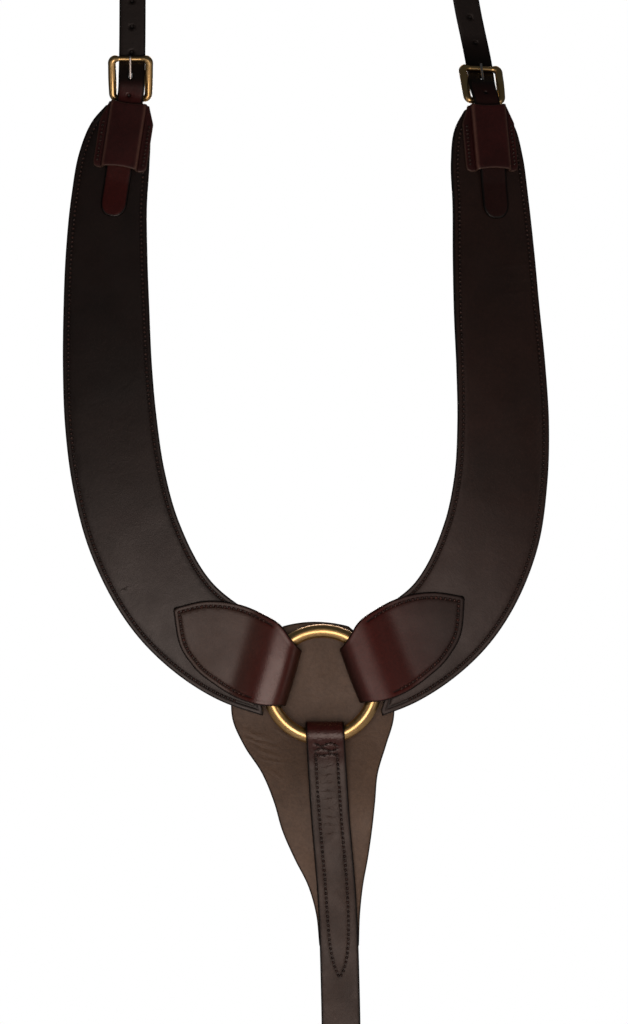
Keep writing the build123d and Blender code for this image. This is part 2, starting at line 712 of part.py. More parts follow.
def make_girth_stitching():
    """Two rows down the strap's front that meet in a point at the turned-back end."""
    rows = (GIRTH_WIDTH / 2 - 5.5, GIRTH_WIDTH / 2 - 5.5 + THREAD_WIDTH)
    with BuildPart() as thread:
        extrude(girth_outline(rows[1]), amount=GIRTH_LEATHER + THREAD)
        extrude(girth_outline(rows[0]), amount=GIRTH_LEATHER + THREAD, mode=Mode.SUBTRACT)
        with BuildSketch(Plane.XZ) as band:
            with Locations((0, (GIRTH_STITCH_CORNER + GIRTH_STITCH_TOP) / 2)):
                Rectangle(100, GIRTH_STITCH_TOP - GIRTH_STITCH_CORNER)
        extrude(band.sketch, amount=20, both=True, mode=Mode.INTERSECT)
        point = (girth_offset(TURN_BACK_END), TURN_BACK_END)
        for hand in (-1, 1):
            row = girth_offset(GIRTH_STITCH_CORNER) + hand * (rows[0] + rows[1]) / 2
            add(thread_line(Plane.XZ, (row, GIRTH_STITCH_CORNER), point).part)
        with BuildSketch(Plane.XZ) as all_round:
            Rectangle(600, 600)
        extrude(all_round.sketch, amount=GIRTH_LEATHER, mode=Mode.SUBTRACT)
    return thread


def make_girth_buckle_stitching():
    """Two short rows that hold the buckle's chape to the girth strap."""
    plane = girth_plane()
    middle = HEEL_BAR + HEEL_BAR_CLEARANCE + BUCKLE_CHAPE_LEATHER / 2
    surface = plane.offset(-middle + BUCKLE_CHAPE_LEATHER * 1.5 + 0.05)
    with BuildPart() as thread:
        for hand in (-1, 1):
            add(thread_line(surface, (hand * 9.5, -31), (hand * 9.5, -49)).part)
    return thread


def save(piece, name):
    piece.part.label = name
    export_step(piece.part, f"parts/{name}.step")


save(make_ring(), "centre_ring")
for side in SIDES:
    save(make_shoulder_layer(side, -SHOULDER_LAYER, 0), f"{side}_shoulder_front")
    save(make_shoulder_layer(side, 0, SHOULDER_LAYER), f"{side}_shoulder_lining")
    save(make_shoulder_stitching(side), f"{side}_shoulder_stitching")
    save(make_ring_chape(side), f"{side}_ring_chape")
    save(make_chape_stitching(side), f"{side}_chape_stitching")
    save(make_shoulder_buckle_chape(side), f"{side}_buckle_chape")
    save(make_buckle_frame(buckle_plane(side), STRAP_WIDTH), f"{side}_buckle_frame")
    save(make_buckle_tongue(buckle_plane(side)), f"{side}_buckle_tongue")
    save(make_saddle_strap(side), f"{side}_saddle_strap")
    save(make_strap_point(side), f"{side}_strap_point")
    save(make_box_loop(side), f"{side}_box_loop")
    save(make_box_loop_stitching(side), f"{side}_box_loop_stitching")
save(make_safe(), "safe")
save(make_girth_strap(), "girth_strap")
save(make_girth_stitching(), "girth_strap_stitching")
save(make_girth_buckle_chape(), "girth_buckle_chape")
save(make_buckle_frame(girth_plane(), GIRTH_WIDTH), "girth_buckle_frame")
save(make_buckle_tongue(girth_plane()), "girth_buckle_tongue")
save(make_girth_keeper(18, FIXED_KEEPER_BACK, 10), "girth_fixed_keeper")
save(make_girth_keeper(60, SLIDING_KEEPER_BACK, 11), "girth_sliding_keeper")
save(make_girth_buckle_stitching(), "girth_buckle_stitching")
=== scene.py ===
import math

import bmesh
import bpy
import numpy as np
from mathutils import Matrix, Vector, kdtree, noise
from mathutils.geometry import delaunay_2d_cdt


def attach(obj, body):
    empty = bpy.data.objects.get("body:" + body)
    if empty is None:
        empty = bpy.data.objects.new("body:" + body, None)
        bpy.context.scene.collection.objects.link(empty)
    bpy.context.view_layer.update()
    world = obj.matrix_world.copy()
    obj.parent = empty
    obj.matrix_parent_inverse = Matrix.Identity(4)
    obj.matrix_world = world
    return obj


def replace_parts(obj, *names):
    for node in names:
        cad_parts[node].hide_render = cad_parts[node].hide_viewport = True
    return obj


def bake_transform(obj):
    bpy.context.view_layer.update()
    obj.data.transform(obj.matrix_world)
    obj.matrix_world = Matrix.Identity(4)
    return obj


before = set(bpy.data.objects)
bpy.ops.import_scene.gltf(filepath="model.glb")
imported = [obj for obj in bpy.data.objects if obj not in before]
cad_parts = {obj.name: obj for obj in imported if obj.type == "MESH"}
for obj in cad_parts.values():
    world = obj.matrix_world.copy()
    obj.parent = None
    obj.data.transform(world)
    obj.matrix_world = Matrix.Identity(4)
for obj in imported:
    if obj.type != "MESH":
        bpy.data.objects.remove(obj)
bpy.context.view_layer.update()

# A horse's breastplate, hanging, seen from the front. Millimetres in the tables below,
# metres in Blender. +Z up, the front faces -Y, and the origin is the ring's centre.
MM = 0.001
SIDES = {"left": -1, "right": 1}
PIECES = {}  # piece name: finish

# ------------------------------------------------------------------ sizes, as in the CAD

RING_RADIUS, RING_WIRE = 38.5, 5.0
SHOULDER_LAYER = 2.5
SHOULDER_RING_CLEARANCE = 46.0
EDGE_TO_STITCH, STITCH_START = 4.0, 62.0  # the second is from the ring's centre
# height, distance out, width across, from the ring to the buckle
SHOULDER_STATIONS = {
    "left": [(5.5, 30.5, 61), (18.7, 60.5, 66), (50, 102.3, 66), (106.3, 135, 67.5),
             (147, 146.2, 67.2), (188, 152, 66.3), (228, 154.6, 64.2), (268, 155.4, 62),
             (308, 155.4, 59), (349, 153.6, 54.8), (379, 149.9, 51.4), (399, 145.6, 44.2),
             (415, 141.8, 28)],
    "right": [(5, 28.2, 63), (18.5, 52.6, 69.5), (49.4, 92, 69.5), (106, 121.2, 69.5),
              (146.6, 128.6, 67), (188, 130.4, 65.7), (228, 128.8, 63.7), (268, 126, 61.4),
              (308, 123.8, 58.5), (349, 121.5, 54.3), (379, 118.9, 51.4), (399, 117.4, 44.6),
              (415, 117, 28)],
}
BEND = {"left": (12.0, 82.0, 200.0, 15.0), "right": (42.0, 114.0, 170.0, 23.0)}

CHAPE_LEATHER, CHAPE_POCKET, CHAPE_FOLD = 2.8, 8.5, 20.6
CHAPE_LEAF = 69.0  # where the leaf starts to rise over the ring
CHAPE_DIRECTION = {"left": 16.3, "right": 20.8}
GROOVE_FROM, SEWN_FROM, GLOW_AT = 46.0, 50.0, 34.0  # from the ring's centre
GLOW_SPREAD = {"left": 24.0, "right": 40.0}  # how far the burgundy reaches up the leaf; the right's wider reach is painted shade, where that leaf catches less sheen
CHAPE_UPPER_EDGE = [(15, 18.5), (23, 20.2), (30.6, 25.2), (38, 31.2), (56, 37), (79, 38.4),
                    (98, 34.1), (118.5, 22.8)]
CHAPE_LOWER_EDGE = [(118.5, 22.8), (108.5, 1.6), (93.8, -12.8), (73.8, -22), (49.6, -27.2),
                    (35.4, -26.4), (23, -22.6), (15, -21.5)]

STRAP_WIDTH, STRAP_LEATHER = 19.0, 3.0
HEEL_BAR, TOE_BAR, BUCKLE_REACH, BUCKLE_BOW = 2.0, 1.9, 29.0, 3.0
STRAP_OVER_HEEL, STRAP_BEHIND_TOE, STRAP_TURN = 6.2, -0.8, 50.0
HEEL_PLACE = {"left": (138.2, 422.5), "right": (117.6, 421.0)}
HEEL_LEAN = {"left": 1.0, "right": 2.0}
BOX_LOOP_LEAN = {"left": 8.5, "right": 5.0}
BUCKLE_TURN = {"left": 15.0, "right": -24.0}
TAIL_GLOW = {"left": 1.0, "right": 0.3}  # how burgundy the strap is below its buckle
BOX_LOOP_TOP, BOX_LOOP_LENGTH, BOX_LOOP_LEATHER = 4.5, 48.0, 2.0
BOX_LOOP_WALL, BOX_LOOP_FLANGE = 12.1, 19.5  # half widths
SADDLE_STRAP_LENGTH, EYE_FRONT, EYE_LAP = 235.0, 11.0, 34.0
SADDLE_STRAP_CENTRE = {
    "left": [(415, 138.2), (450, 137.2), (500, 136.8), (760, 136.8)],
    "right": [(415, 117.7), (448, 113.5), (487, 105.5), (760, 84.0)],
}
HOLE_PITCH = 18.5
TONGUE_AT = {"left": 16.2, "right": 18.6}  # along the strap from the heel bar

GIRTH_WIDTH, GIRTH_LEATHER, GIRTH_AXIS, GIRTH_POCKET = 28.0, 2.8, -36.6, 7.4
GIRTH_CENTRE = [(-20, 1.4), (-90, 5.6), (-155, 10.8), (-227, 13.3), (-330, 14.2), (-640, 14.2)]
GIRTH_LOOP_BOTTOM, GIRTH_LOOP_DEPTH, GIRTH_HEEL = -592.0, 46.0, -432.0
TURN_BACK_END, GIRTH_POINT_END = -211.0, -325.0

SAFE_LEATHER, SAFE_FRONT = 3.0, 13.8
SAFE_OUTLINE = [
    (42, -28, 19), (22, -54.5, 42), (-3, -64.5, 51), (-24, -64.8, 51.8), (-44, -56.3, 46.1),
    (-64, -43.3, 40.2), (-85, -34.6, 38.2), (-105, -28.8, 36), (-125, -20.1, 33.1),
    (-145, -10.1, 29.5), (-165, -4.4, 27.4), (-188, -2.0, 26.6),
]


def vec(*xyz):
    return np.array(xyz, dtype=float)


def unit(v):
    return v / np.linalg.norm(v)


# ------------------------------------------------------------------ curves and paths


def run_along(points):
    """The length run along a line, at each of its points."""
    return np.concatenate([[0], np.cumsum(np.linalg.norm(np.diff(points, axis=0), axis=1))])


def hermite(keys, values, slopes, key):
    """A smooth curve through values at keys, with the slopes given there."""
    i = int(np.clip(np.searchsorted(keys, key, side="right") - 1, 0, len(keys) - 2))
    span = keys[i + 1] - keys[i]
    t = (key - keys[i]) / span
    return ((2 * t**3 - 3 * t**2 + 1) * values[i] + (t**3 - 2 * t**2 + t) * span * slopes[i]
            + (-2 * t**3 + 3 * t**2) * values[i + 1] + (t**3 - t**2) * span * slopes[i + 1])


def smooth_curve(points):
    """A Catmull-Rom curve through points of any dimension: returns f(share of length)."""
    pts = np.array(points, dtype=float)
    knots = run_along(pts)
    knots /= knots[-1]
    slopes = np.gradient(pts, knots, axis=0)
    return lambda share: hermite(knots, pts, slopes, share)


def read_between(rows, key, column):
    """Value of a column of a table at a key, on a smooth curve through the rows."""
    rows = sorted(rows)
    keys = np.array([row[0] for row in rows], dtype=float)
    values = np.array([row[column] for row in rows], dtype=float)
    return hermite(keys, values, np.gradient(values, keys), float(np.clip(key, keys[0], keys[-1])))


def rounded_path(points, radii, step=1.5):
    """Samples (position, direction) along straight runs joined by arcs, all in a plane."""
    pts = [np.array(p, dtype=float) for p in points]
    out = []

    def run(start, end):
        length = np.linalg.norm(end - start)
        if length < 1e-6:
            return
        way = (end - start) / length
        count = max(1, int(length / step))
        for i in range(count):
            out.append((start + way * length * i / count, way))

    here = pts[0]
    for corner, following, radius in zip(pts[1:-1], pts[2:], radii):
        incoming = unit(corner - here)
        outgoing = unit(following - corner)
        turn = math.acos(float(np.clip(incoming @ outgoing, -1, 1)))
        cut = radius * math.tan(turn / 2)
        enter = corner - incoming * cut
        run(here, enter)
        left = incoming[0] * outgoing[1] - incoming[1] * outgoing[0]
        hand = 1 if left > 0 else -1
        normal = np.array([-incoming[1], incoming[0]]) * hand
        centre = enter + normal * radius
        count = max(2, int(radius * turn / (step * 0.5)))
        for i in range(count):
            angle = turn * i / count * hand
            c, s = math.cos(angle), math.sin(angle)
            spin = np.array([[c, -s], [s, c]])
            out.append((centre + spin @ (enter - centre), spin @ incoming))
        here = corner + outgoing * cut
    run(here, pts[-1])
    out.append((pts[-1], unit(pts[-1] - here)))
    return out


class Path:
    """A flat line, read by the length along it."""

    def __init__(self, points, ways):
        self.points, self.ways = np.array(points), np.array(ways)
        self.reach = run_along(self.points)

    @classmethod
    def rounded(cls, corners, radii, step):
        return cls(*zip(*rounded_path(corners, radii, step=step)))

    def at(self, t):
        """The spot's two coordinates, then its direction's."""
        return [np.interp(t, self.reach, column) for column in (*self.points.T, *self.ways.T)]


# ------------------------------------------------------------------ meshes


def new_object(name, verts, faces, attributes=None):
    mesh = bpy.data.meshes.new(name)
    mesh.from_pydata([tuple(float(c) for c in v) for v in verts], [], faces)
    for key, values in (attributes or {}).items():
        layer = mesh.attributes.new(key, "FLOAT", "POINT")
        layer.data.foreach_set("value", np.array(values, dtype=np.float32))
    mesh.polygons.foreach_set("use_smooth", [True] * len(mesh.polygons))
    mesh.update()
    obj = bpy.data.objects.new(name, mesh)
    bpy.context.scene.collection.objects.link(obj)
    tidy = bmesh.new()
    tidy.from_mesh(mesh)
    bmesh.ops.recalc_face_normals(tidy, faces=tidy.faces)
    tidy.to_mesh(mesh)
    tidy.free()
    return obj


def even_loop(points, step):
    """Evenly spaced points round a closed line, anticlockwise."""
    pts = np.array(points, dtype=float)
    ring = np.vstack([pts, pts[:1]])
    area = np.sum(ring[:-1, 0] * ring[1:, 1] - ring[1:, 0] * ring[:-1, 1])
    if area < 0:
        ring = ring[::-1]
    reach = run_along(ring)
    count = max(12, int(round(reach[-1] / step)))
    at = np.arange(count) * reach[-1] / count
    return np.column_stack([np.interp(at, reach, ring[:, 0]), np.interp(at, reach, ring[:, 1])])


def even_line(points, step):
    pts = np.array(points, dtype=float)
    reach = run_along(pts)
    at = np.linspace(0, reach[-1], max(2, int(reach[-1] / step) + 1))
    return np.column_stack([np.interp(at, reach, pts[:, k]) for k in range(pts.shape[1])])


def inward(loop):
    along = np.roll(loop, -1, axis=0) - np.roll(loop, 1, axis=0)
    along /= np.linalg.norm(along, axis=1)[:, None]
    return np.column_stack([-along[:, 1], along[:, 0]])


def edge_distance(points, loops):
    """Distance from each point to the nearest of some closed lines."""
    best = np.full(len(points), 1e9)
    for loop in loops:
        tree = kdtree.KDTree(len(loop))
        for i, p in enumerate(loop):
            tree.insert((p[0], p[1], 0), i)
        tree.balance()
        near = np.array([tree.find((p[0], p[1], 0))[1] for p in points])
        for shift in (-1, 0):
            a = loop[(near + shift) % len(loop)]
            b = loop[(near + shift + 1) % len(loop)]
            way = b - a
            square = np.maximum(np.sum(way * way, axis=1), 1e-12)
            t = np.clip(np.sum((points - a) * way, axis=1) / square, 0, 1)
            best = np.minimum(best, np.linalg.norm(points - a - way * t[:, None], axis=1))
    return best


def inside(points, loops):
    """Even-odd test against some closed lines."""
    odd = np.zeros(len(points), dtype=bool)
    for loop in loops:
        following = np.roll(loop, -1, axis=0)
        for a, b in zip(loop, following):
            crosses = (a[1] > points[:, 1]) != (b[1] > points[:, 1])
            if crosses.any():
                x = a[0] + (points[:, 1] - a[1]) / (b[1] - a[1] + 1e-30) * (b[0] - a[0])
                odd ^= crosses & (points[:, 0] < x)
    return odd


def inset_loop(loop, distance, loops):
    moved = loop + inward(loop) * distance
    keep = edge_distance(moved, loops) > 0.97 * distance
    return moved[keep]


def row_distance(points, row):
    """Distance from each point to an open line."""
    row = even_line(row, 0.8)
    tree = kdtree.KDTree(len(row))
    for i, p in enumerate(row):
        tree.insert((p[0], p[1], 0), i)
    tree.balance()
    return np.array([tree.find((p[0], p[1], 0))[2] for p in points])


def leather(name, outline, place, thickness, holes=(), step=1.7, grid=(3.0, 3.0), groove=0.28,
            groove_at=4.0, swell=0.0, grooved=None, wave=0.0, round_share=0.85, tint=None,
            furrow=0.95, sewn=(), dimples=()):
    """A piece cut from leather: rounded edges, a stitch groove, punched holes.

    outline is its flat shape; place(u, v) gives the middle surface's point and normal.
    """
    half = thickness / 2
    bevel = half * round_share
    loop = even_loop(outline, step)
    hole_loops = [even_loop(h, 0.7) for h in holes]
    loops = [loop] + hole_loops
    rows = [0.12 * bevel, 0.4 * bevel, bevel]
    if groove:
        rows += [groove_at + share * furrow for share in (-1.7, -0.9, -0.4, 0, 0.4, 0.9, 1.7)]
    points = [loop] + hole_loops
    for distance in rows:
        points.append(inset_loop(loop, distance, loops))
    for hole in hole_loops:
        for distance in (0.4 * bevel, bevel):
            moved = hole - inward(hole) * distance
            points.append(moved[edge_distance(moved, loops) > 0.97 * distance])
    for row in sewn:
        row = even_line(row, 1.2)
        along = np.gradient(row, axis=0)
        along /= np.linalg.norm(along, axis=1)[:, None]
        side_way = np.column_stack([-along[:, 1], along[:, 0]])
        for share in (-1.7, -0.8, 0, 0.8, 1.7):
            points.append(row + side_way * furrow * share)
    for u, v, radius in dimples:
        for share in (0, 0.45, 0.8, 1.0, 1.25):
            angles = np.linspace(0, 2 * math.pi, 1 if share == 0 else 18, endpoint=False)
            points.append(np.array([(u + radius * share * math.cos(a),
                                     v + radius * share * math.sin(a)) for a in angles]))
    low, high = loop.min(axis=0), loop.max(axis=0)
    us = np.arange(low[0] + grid[0] * 0.37, high[0], grid[0])
    vs = np.arange(low[1] + grid[1] * 0.41, high[1], grid[1])
    lattice = np.array([(u, v) for u in us for v in vs])
    clear = rows[-1] + 0.45 * min(grid)
    lattice = lattice[inside(lattice, loops)]
    lattice = lattice[edge_distance(lattice, loops) > clear]
    for row in sewn:
        lattice = lattice[row_distance(lattice, row) > 2.2 * furrow]
    for u, v, radius in dimples:
        lattice = lattice[np.hypot(lattice[:, 0] - u, lattice[:, 1] - v) > 1.7 * radius]
    points.append(lattice)
    flat = np.vstack(points)
    edges, base = [], 0
    for one in loops:
        edges += [(base + i, base + (i + 1) % len(one)) for i in range(len(one))]
        base += len(one)
    out = delaunay_2d_cdt([Vector(p) for p in flat], edges, [], 0, 1e-5)
    flat = np.array([tuple(p) for p in out[0]])
    triangles = np.array([tuple(f) for f in out[2]])
    middles = flat[triangles].mean(axis=1)
    triangles = triangles[inside(middles, loops)]
    used = np.unique(triangles)
    renumber = -np.ones(len(flat), dtype=int)
    renumber[used] = np.arange(len(used))
    flat, triangles = flat[used], renumber[triangles]
    distance = edge_distance(flat, loops)
    distance[distance < 1e-3] = 0
    close = np.clip(distance, 0, bevel)
    height = half - bevel + np.sqrt(np.maximum(bevel**2 - (bevel - close) ** 2, 0))
    pull = np.exp(-(((distance - groove_at) / furrow) ** 2)) * (1.0 if groove else 0.0)
    if grooved is not None:
        pull = pull * np.array([grooved(u, v) for u, v in flat])
    for row in sewn:
        pull = np.maximum(pull, np.exp(-((row_distance(flat, row) / furrow) ** 2)))
    well = np.zeros(len(flat))
    for u, v, radius in dimples:
        reach = np.hypot(flat[:, 0] - u, flat[:, 1] - v) / radius
        well = np.maximum(well, np.clip((1.08 - reach) / 0.3, 0, 1))
    height = height - well * (half - 0.15)
    # The hole dents join the groove mask, which the finish darkens as painted shade.
    pull = np.maximum(pull, well)
    height = height - pull * (1 - well) * (groove or 0.35)
    height = height + swell * np.clip((distance - groove_at) / 12, 0, 1) ** 0.7
    count = len(flat)
    placed = [place(u, v) for u, v in flat]
    middle = np.array([p for p, _ in placed])
    normal = np.array([n for _, n in placed])
    if wave:
        bumps = np.array([noise.noise(Vector(p * 0.018)) + 0.5 * noise.noise(Vector(p * 0.05))
                          for p in middle])
        middle = middle + normal * (wave * bumps * np.clip(distance / 5, 0.3, 1))[:, None]
    verts = np.vstack([middle + normal * height[:, None], middle - normal * height[:, None]]) * MM
    faces = [tuple(int(i) for i in t) for t in triangles]
    faces += [tuple(int(i) + count for i in t[::-1]) for t in triangles]
    once = {}
    for a, b, c in triangles:
        for edge in ((a, b), (b, c), (c, a)):
            key = (min(edge), max(edge))
            once[key] = None if key in once else edge
    for edge in once.values():
        if edge is not None:
            a, b = int(edge[0]), int(edge[1])
            faces.append((b, a, a + count, b + count))
    shade = np.array([tint(u, v) for u, v in flat]) if tint is not None else np.zeros(count)
    # furrow is the mask of stitch grooves and hole dents, darkened in the finish as painted shade.
    attributes = {"edge_mm": distance, "furrow": pull, "tint": shade}
    return new_object(name, verts, faces, {k: np.concatenate([v, v]) for k, v in attributes.items()})


def stitches(name, rows, pitch=3.3, length=2.3, radius=0.98, slant=24.0, seed=1):
    """Rows of separate stitches. Each row is a list of (point, normal) on the leather."""
    rng = np.random.default_rng(seed)
    rings, segments = 5, 7
    verts, faces = [], []
    for row in rows:
        points = np.array([p for p, _ in row])
        normals = np.array([n for _, n in row])
        reach = run_along(points)
        count = max(1, int(reach[-1] / pitch))

        def read(at):
            return vec(*[np.interp(at, reach, points[:, k]) for k in range(3)])

        for i in range(count):
            middle = (i + 0.5) * reach[-1] / count
            here = read(middle)
            normal = unit(vec(*[np.interp(middle, reach, normals[:, k]) for k in range(3)]))
            along = read(middle + 0.6) - read(middle - 0.6)
            along = unit(along - normal * (along @ normal))
            side = np.cross(normal, along)
            angle = math.radians(slant + rng.normal(0, 3))
            along, side = (along * math.cos(angle) + side * math.sin(angle),
                           side * math.cos(angle) - along * math.sin(angle))
            size = length * (1 + rng.normal(0, 0.04))
            thick = radius * (1 + rng.normal(0, 0.06))
            base = len(verts)
            for r in range(rings):
                u = -1 + 2 * r / (rings - 1)
                fat = max(0.3, (1 - (u * 0.95) ** 2) ** 0.35)
                spot = here + along * (u * size / 2) + normal * thick * (0.4 - 0.9 * u * u)
                for s in range(segments):
                    turn = 2 * math.pi * s / segments
                    offset = side * math.cos(turn) * thick + normal * math.sin(turn) * thick * 0.85
                    verts.append((spot + offset * fat) * MM)
            for r in range(rings - 1):
                for s in range(segments):
                    t = (s + 1) % segments
                    a, b = base + r * segments, base + (r + 1) * segments
                    faces.append((a + s, a + t, b + t, b + s))
            faces.append(tuple(base + s for s in range(segments)))
            faces.append(tuple(base + (rings - 1) * segments + s for s in range(segments)))
    return new_object(name, verts, faces)


def row_on(line, place, surface):
    """A stitch row along flat points, at a height off the middle surface."""
    row = []
    for u, v in line:
        point, normal = place(u, v)
        row.append((point + normal * surface, normal if surface > 0 else -normal))
    return row


def tube(name, centres, radii, segments=20, squash=None):
    """A closed tube through points with a radius at each; squash=(direction, factor)."""
    verts, faces = [], []
    count = len(centres)
    up = None
    for i, (centre, radius) in enumerate(zip(centres, radii)):
        before, after = centres[max(0, i - 1)], centres[min(count - 1, i + 1)]
        way = unit(after - before)
        if up is None:
            up = unit(np.cross(way, vec(0.3, 0.5, 0.81)))
        up = unit(up - way * (up @ way))
        side = np.cross(way, up)
        for s in range(segments):
            turn = 2 * math.pi * s / segments
            offset = (up * math.cos(turn) + side * math.sin(turn)) * radius
            if squash is not None:
                direction, factor = squash
                offset = offset + direction * (offset @ direction) * (factor - 1)
            verts.append((centre + offset) * MM)
    for i in range(count - 1):
        for s in range(segments):
            t = (s + 1) % segments
            a, b = i * segments, (i + 1) * segments
            faces.append((a + s, a + t, b + t, b + s))
    faces.append(tuple(range(segments)))
    faces.append(tuple(range((count - 1) * segments, count * segments)))
    return new_object(name, verts, faces)


def joined(name, objects):
    bpy.ops.object.select_all(action="DESELECT")
    for obj in objects:
        obj.select_set(True)
    bpy.context.view_layer.objects.active = objects[0]
    bpy.ops.object.join()
    objects[0].name = name
    return objects[0]


# ------------------------------------------------------------------ shoulders


def bend_axis(side):
    turn = math.radians(BEND[side][0])
    return vec(SIDES[side] * math.sin(turn), 0, math.cos(turn))


def bend_at(side, x, z):
    """Depth and slope of a shoulder's middle surface, straight behind the front view."""
    _, start, length, angle = BEND[side]
    turn = math.radians(angle)
    s = float(bend_axis(side) @ vec(x, 0, z)) - start
    if s <= 0:
        return 0.0, 0.0
    if s < length:
        radius = length / math.sin(turn)
        root = math.sqrt(radius**2 - s**2)
        return radius - root, s / root
    return length * math.tan(turn / 2) + (s - length) * math.tan(turn), math.tan(turn)


def shoulder_surface(side, layer=0.0):
    """place(x, z) on a shoulder; layer is how far in front of its middle seam."""
    axis = bend_axis(side)

    def place(x, z):
        depth, slope = bend_at(side, x, z)
        normal = unit(axis * slope + vec(0, -1, 0))
        return vec(x, depth, z) + normal * layer, normal

    return place


def shoulder_outline(side):
    sign = SIDES[side]
    rows = [(sign * out, height, width) for height, out, width in SHOULDER_STATIONS[side]]
    curve = smooth_curve(rows)
    samples = np.array([curve(t) for t in np.linspace(0, 1, 300)])
    along = np.gradient(samples[:, :2], axis=0)
    along /= np.linalg.norm(along, axis=1)[:, None]
    across = np.column_stack([along[:, 1], -along[:, 0]])
    one = samples[:, :2] + across * samples[:, 2:] / 2
    other = samples[:, :2] - across * samples[:, 2:] / 2
    one = one[np.linalg.norm(one, axis=1) > SHOULDER_RING_CLEARANCE]
    other = other[np.linalg.norm(other, axis=1) > SHOULDER_RING_CLEARANCE]
    first, last = math.atan2(other[0][1], other[0][0]), math.atan2(one[0][1], one[0][0])
    turn = (last - first + math.pi) % (2 * math.pi) - math.pi
    arc = [(SHOULDER_RING_CLEARANCE * math.cos(first + turn * t), SHOULDER_RING_CLEARANCE
            * math.sin(first + turn * t)) for t in np.linspace(0, 1, 24)[1:-1]]
    return [tuple(p) for p in one] + [tuple(p) for p in other[::-1]] + arc


for side in SIDES:
    body = f"{side}_shoulder"
    outline = shoulder_outline(side)
    seam = shoulder_surface(side)
    for part, layer in (("front", 1), ("lining", -1)):
        node = f"{side}_shoulder_{part}"
        piece = leather(f"{side}_{part}_leather", outline,
                        shoulder_surface(side, layer * SHOULDER_LAYER / 2), SHOULDER_LAYER, step=1.8,
                        grid=(3.2, 3.2), groove=0.5, swell=0.3 if layer > 0 else 0.0,
                        wave=0.3 if layer > 0 else 0.2)
        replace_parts(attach(piece, body), node)
        PIECES[piece.name] = f"{side}_arm" if layer > 0 else "lining"
    loop = even_loop(outline, 1.8)
    line = inset_loop(loop, EDGE_TO_STITCH, [loop])
    start = int(np.argmin(np.linalg.norm(line, axis=1)))
    line = np.roll(line, -start, axis=0)
    line = [p for p in line if math.hypot(*p) >= STITCH_START]
    half = int(np.argmax([p[1] for p in line]))
    chains = [line[: half - 8], line[half + 8:]]
    rows = []
    for chain in chains:
        rows.append(row_on(chain, seam, SHOULDER_LAYER - 0.12))
        rows.append(row_on(chain, seam, -SHOULDER_LAYER + 0.12))
    piece = stitches(f"{side}_edge_stitches", rows, seed=SIDES[side] + 5)
    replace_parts(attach(piece, body), f"{side}_shoulder_stitching")
    PIECES[piece.name] = "thread"

# ------------------------------------------------------------------ ring chapes


def chape_surface(side):
    """place(t, up) on a folded chape; t runs from the back leaf's tip round to the front's."""
    turn = math.radians(CHAPE_DIRECTION[side])
    sign = SIDES[side]
    out = vec(sign * math.cos(turn), 0, math.sin(turn))
    up = vec(-sign * math.sin(turn), 0, math.cos(turn))
    flat = SHOULDER_LAYER + CHAPE_LEATHER / 2
    bulge = CHAPE_POCKET + CHAPE_LEATHER / 2
    edge = CHAPE_FOLD + CHAPE_LEATHER / 2
    centre = edge + bulge * 1.3
    half = [(float(d), flat) for d in np.arange(121, CHAPE_LEAF, -1.0)]
    for share in np.linspace(0, 1, 28):
        ease = share**3 * (share * (6 * share - 15) + 10)
        half.append((CHAPE_LEAF + (centre + 1 - CHAPE_LEAF) * share, flat + (bulge - flat) * ease))
    half += [(centre - (centre - edge) * math.sin(a) ** 0.75, bulge * max(math.cos(a), 0) ** 0.75)
             for a in np.linspace(0, math.pi / 2, 31)]
    line = even_line(half + [(d, -y) for d, y in half[-2::-1]], 0.8)
    ways = np.gradient(line, axis=0)
    ways /= np.linalg.norm(ways, axis=1)[:, None]
    path = Path(line, ways)

    def place(t, height):
        d, y, wd, wy = path.at(t)
        normal = unit(out * wy + vec(0, -wd, 0))
        return out * d + vec(0, y, 0) + up * height, normal

    return place, path


def chape_outline(side):
    _, path = chape_surface(side)
    upper, lower = [], []
    for (d, _), t in zip(path.points, path.reach):
        if d > 118.3:
            continue
        d = max(d, 15)
        high, low = (read_between(rows, d, 1) for rows in (CHAPE_UPPER_EDGE, CHAPE_LOWER_EDGE))
        upper.append((t, high))
        lower.append((t, low))
    return upper + lower[::-1]


for side in SIDES:
    body = f"{side}_shoulder"
    place, path = chape_surface(side)
    outline = chape_outline(side)

    def on_leaf(t, _):
        return 1.0 if path.at(t)[0] > GROOVE_FROM else 0.0

    # The chape's burgundy; it reaches further up the right leaf as painted shade.
    def tint_and_painted_light(t, _):
        d = path.at(t)[0]
        spread = GLOW_SPREAD[side] if d > GLOW_AT else 10.5
        return math.exp(-(((d - GLOW_AT) / spread) ** 2)) * float(np.clip((d - 20) / 8, 0.2, 1))

    piece = leather(f"{side}_chape_leather", outline, place, CHAPE_LEATHER, step=1.5, grid=(1.2, 2.4),
                    groove=0.5, grooved=on_leaf, swell=0.35, wave=0.12, tint=tint_and_painted_light)
    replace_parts(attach(piece, body), f"{side}_ring_chape")
    PIECES[piece.name] = f"{side}_chape"
    loop = even_loop(outline, 1.5)
    line = inset_loop(loop, EDGE_TO_STITCH, [loop])
    rows, chain = [], []
    flags = [path.at(p[0])[0] > SEWN_FROM for p in line]
    first = flags.index(False)
    line, flags = np.roll(line, -first, axis=0), flags[first:] + flags[:first]
    for p, flag in zip(line, flags):
        if flag:
            chain.append(p)
        elif chain:
            rows.append(row_on(chain, place, CHAPE_LEATHER / 2 - 0.1))
            chain = []
    if chain:
        rows.append(row_on(chain, place, CHAPE_LEATHER / 2 - 0.1))
    piece = stitches(f"{side}_chape_stitches", rows, seed=SIDES[side] + 15)
    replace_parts(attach(piece, body), f"{side}_chape_stitching")
    PIECES[piece.name] = "chape_thread"

# ------------------------------------------------------------------ ring


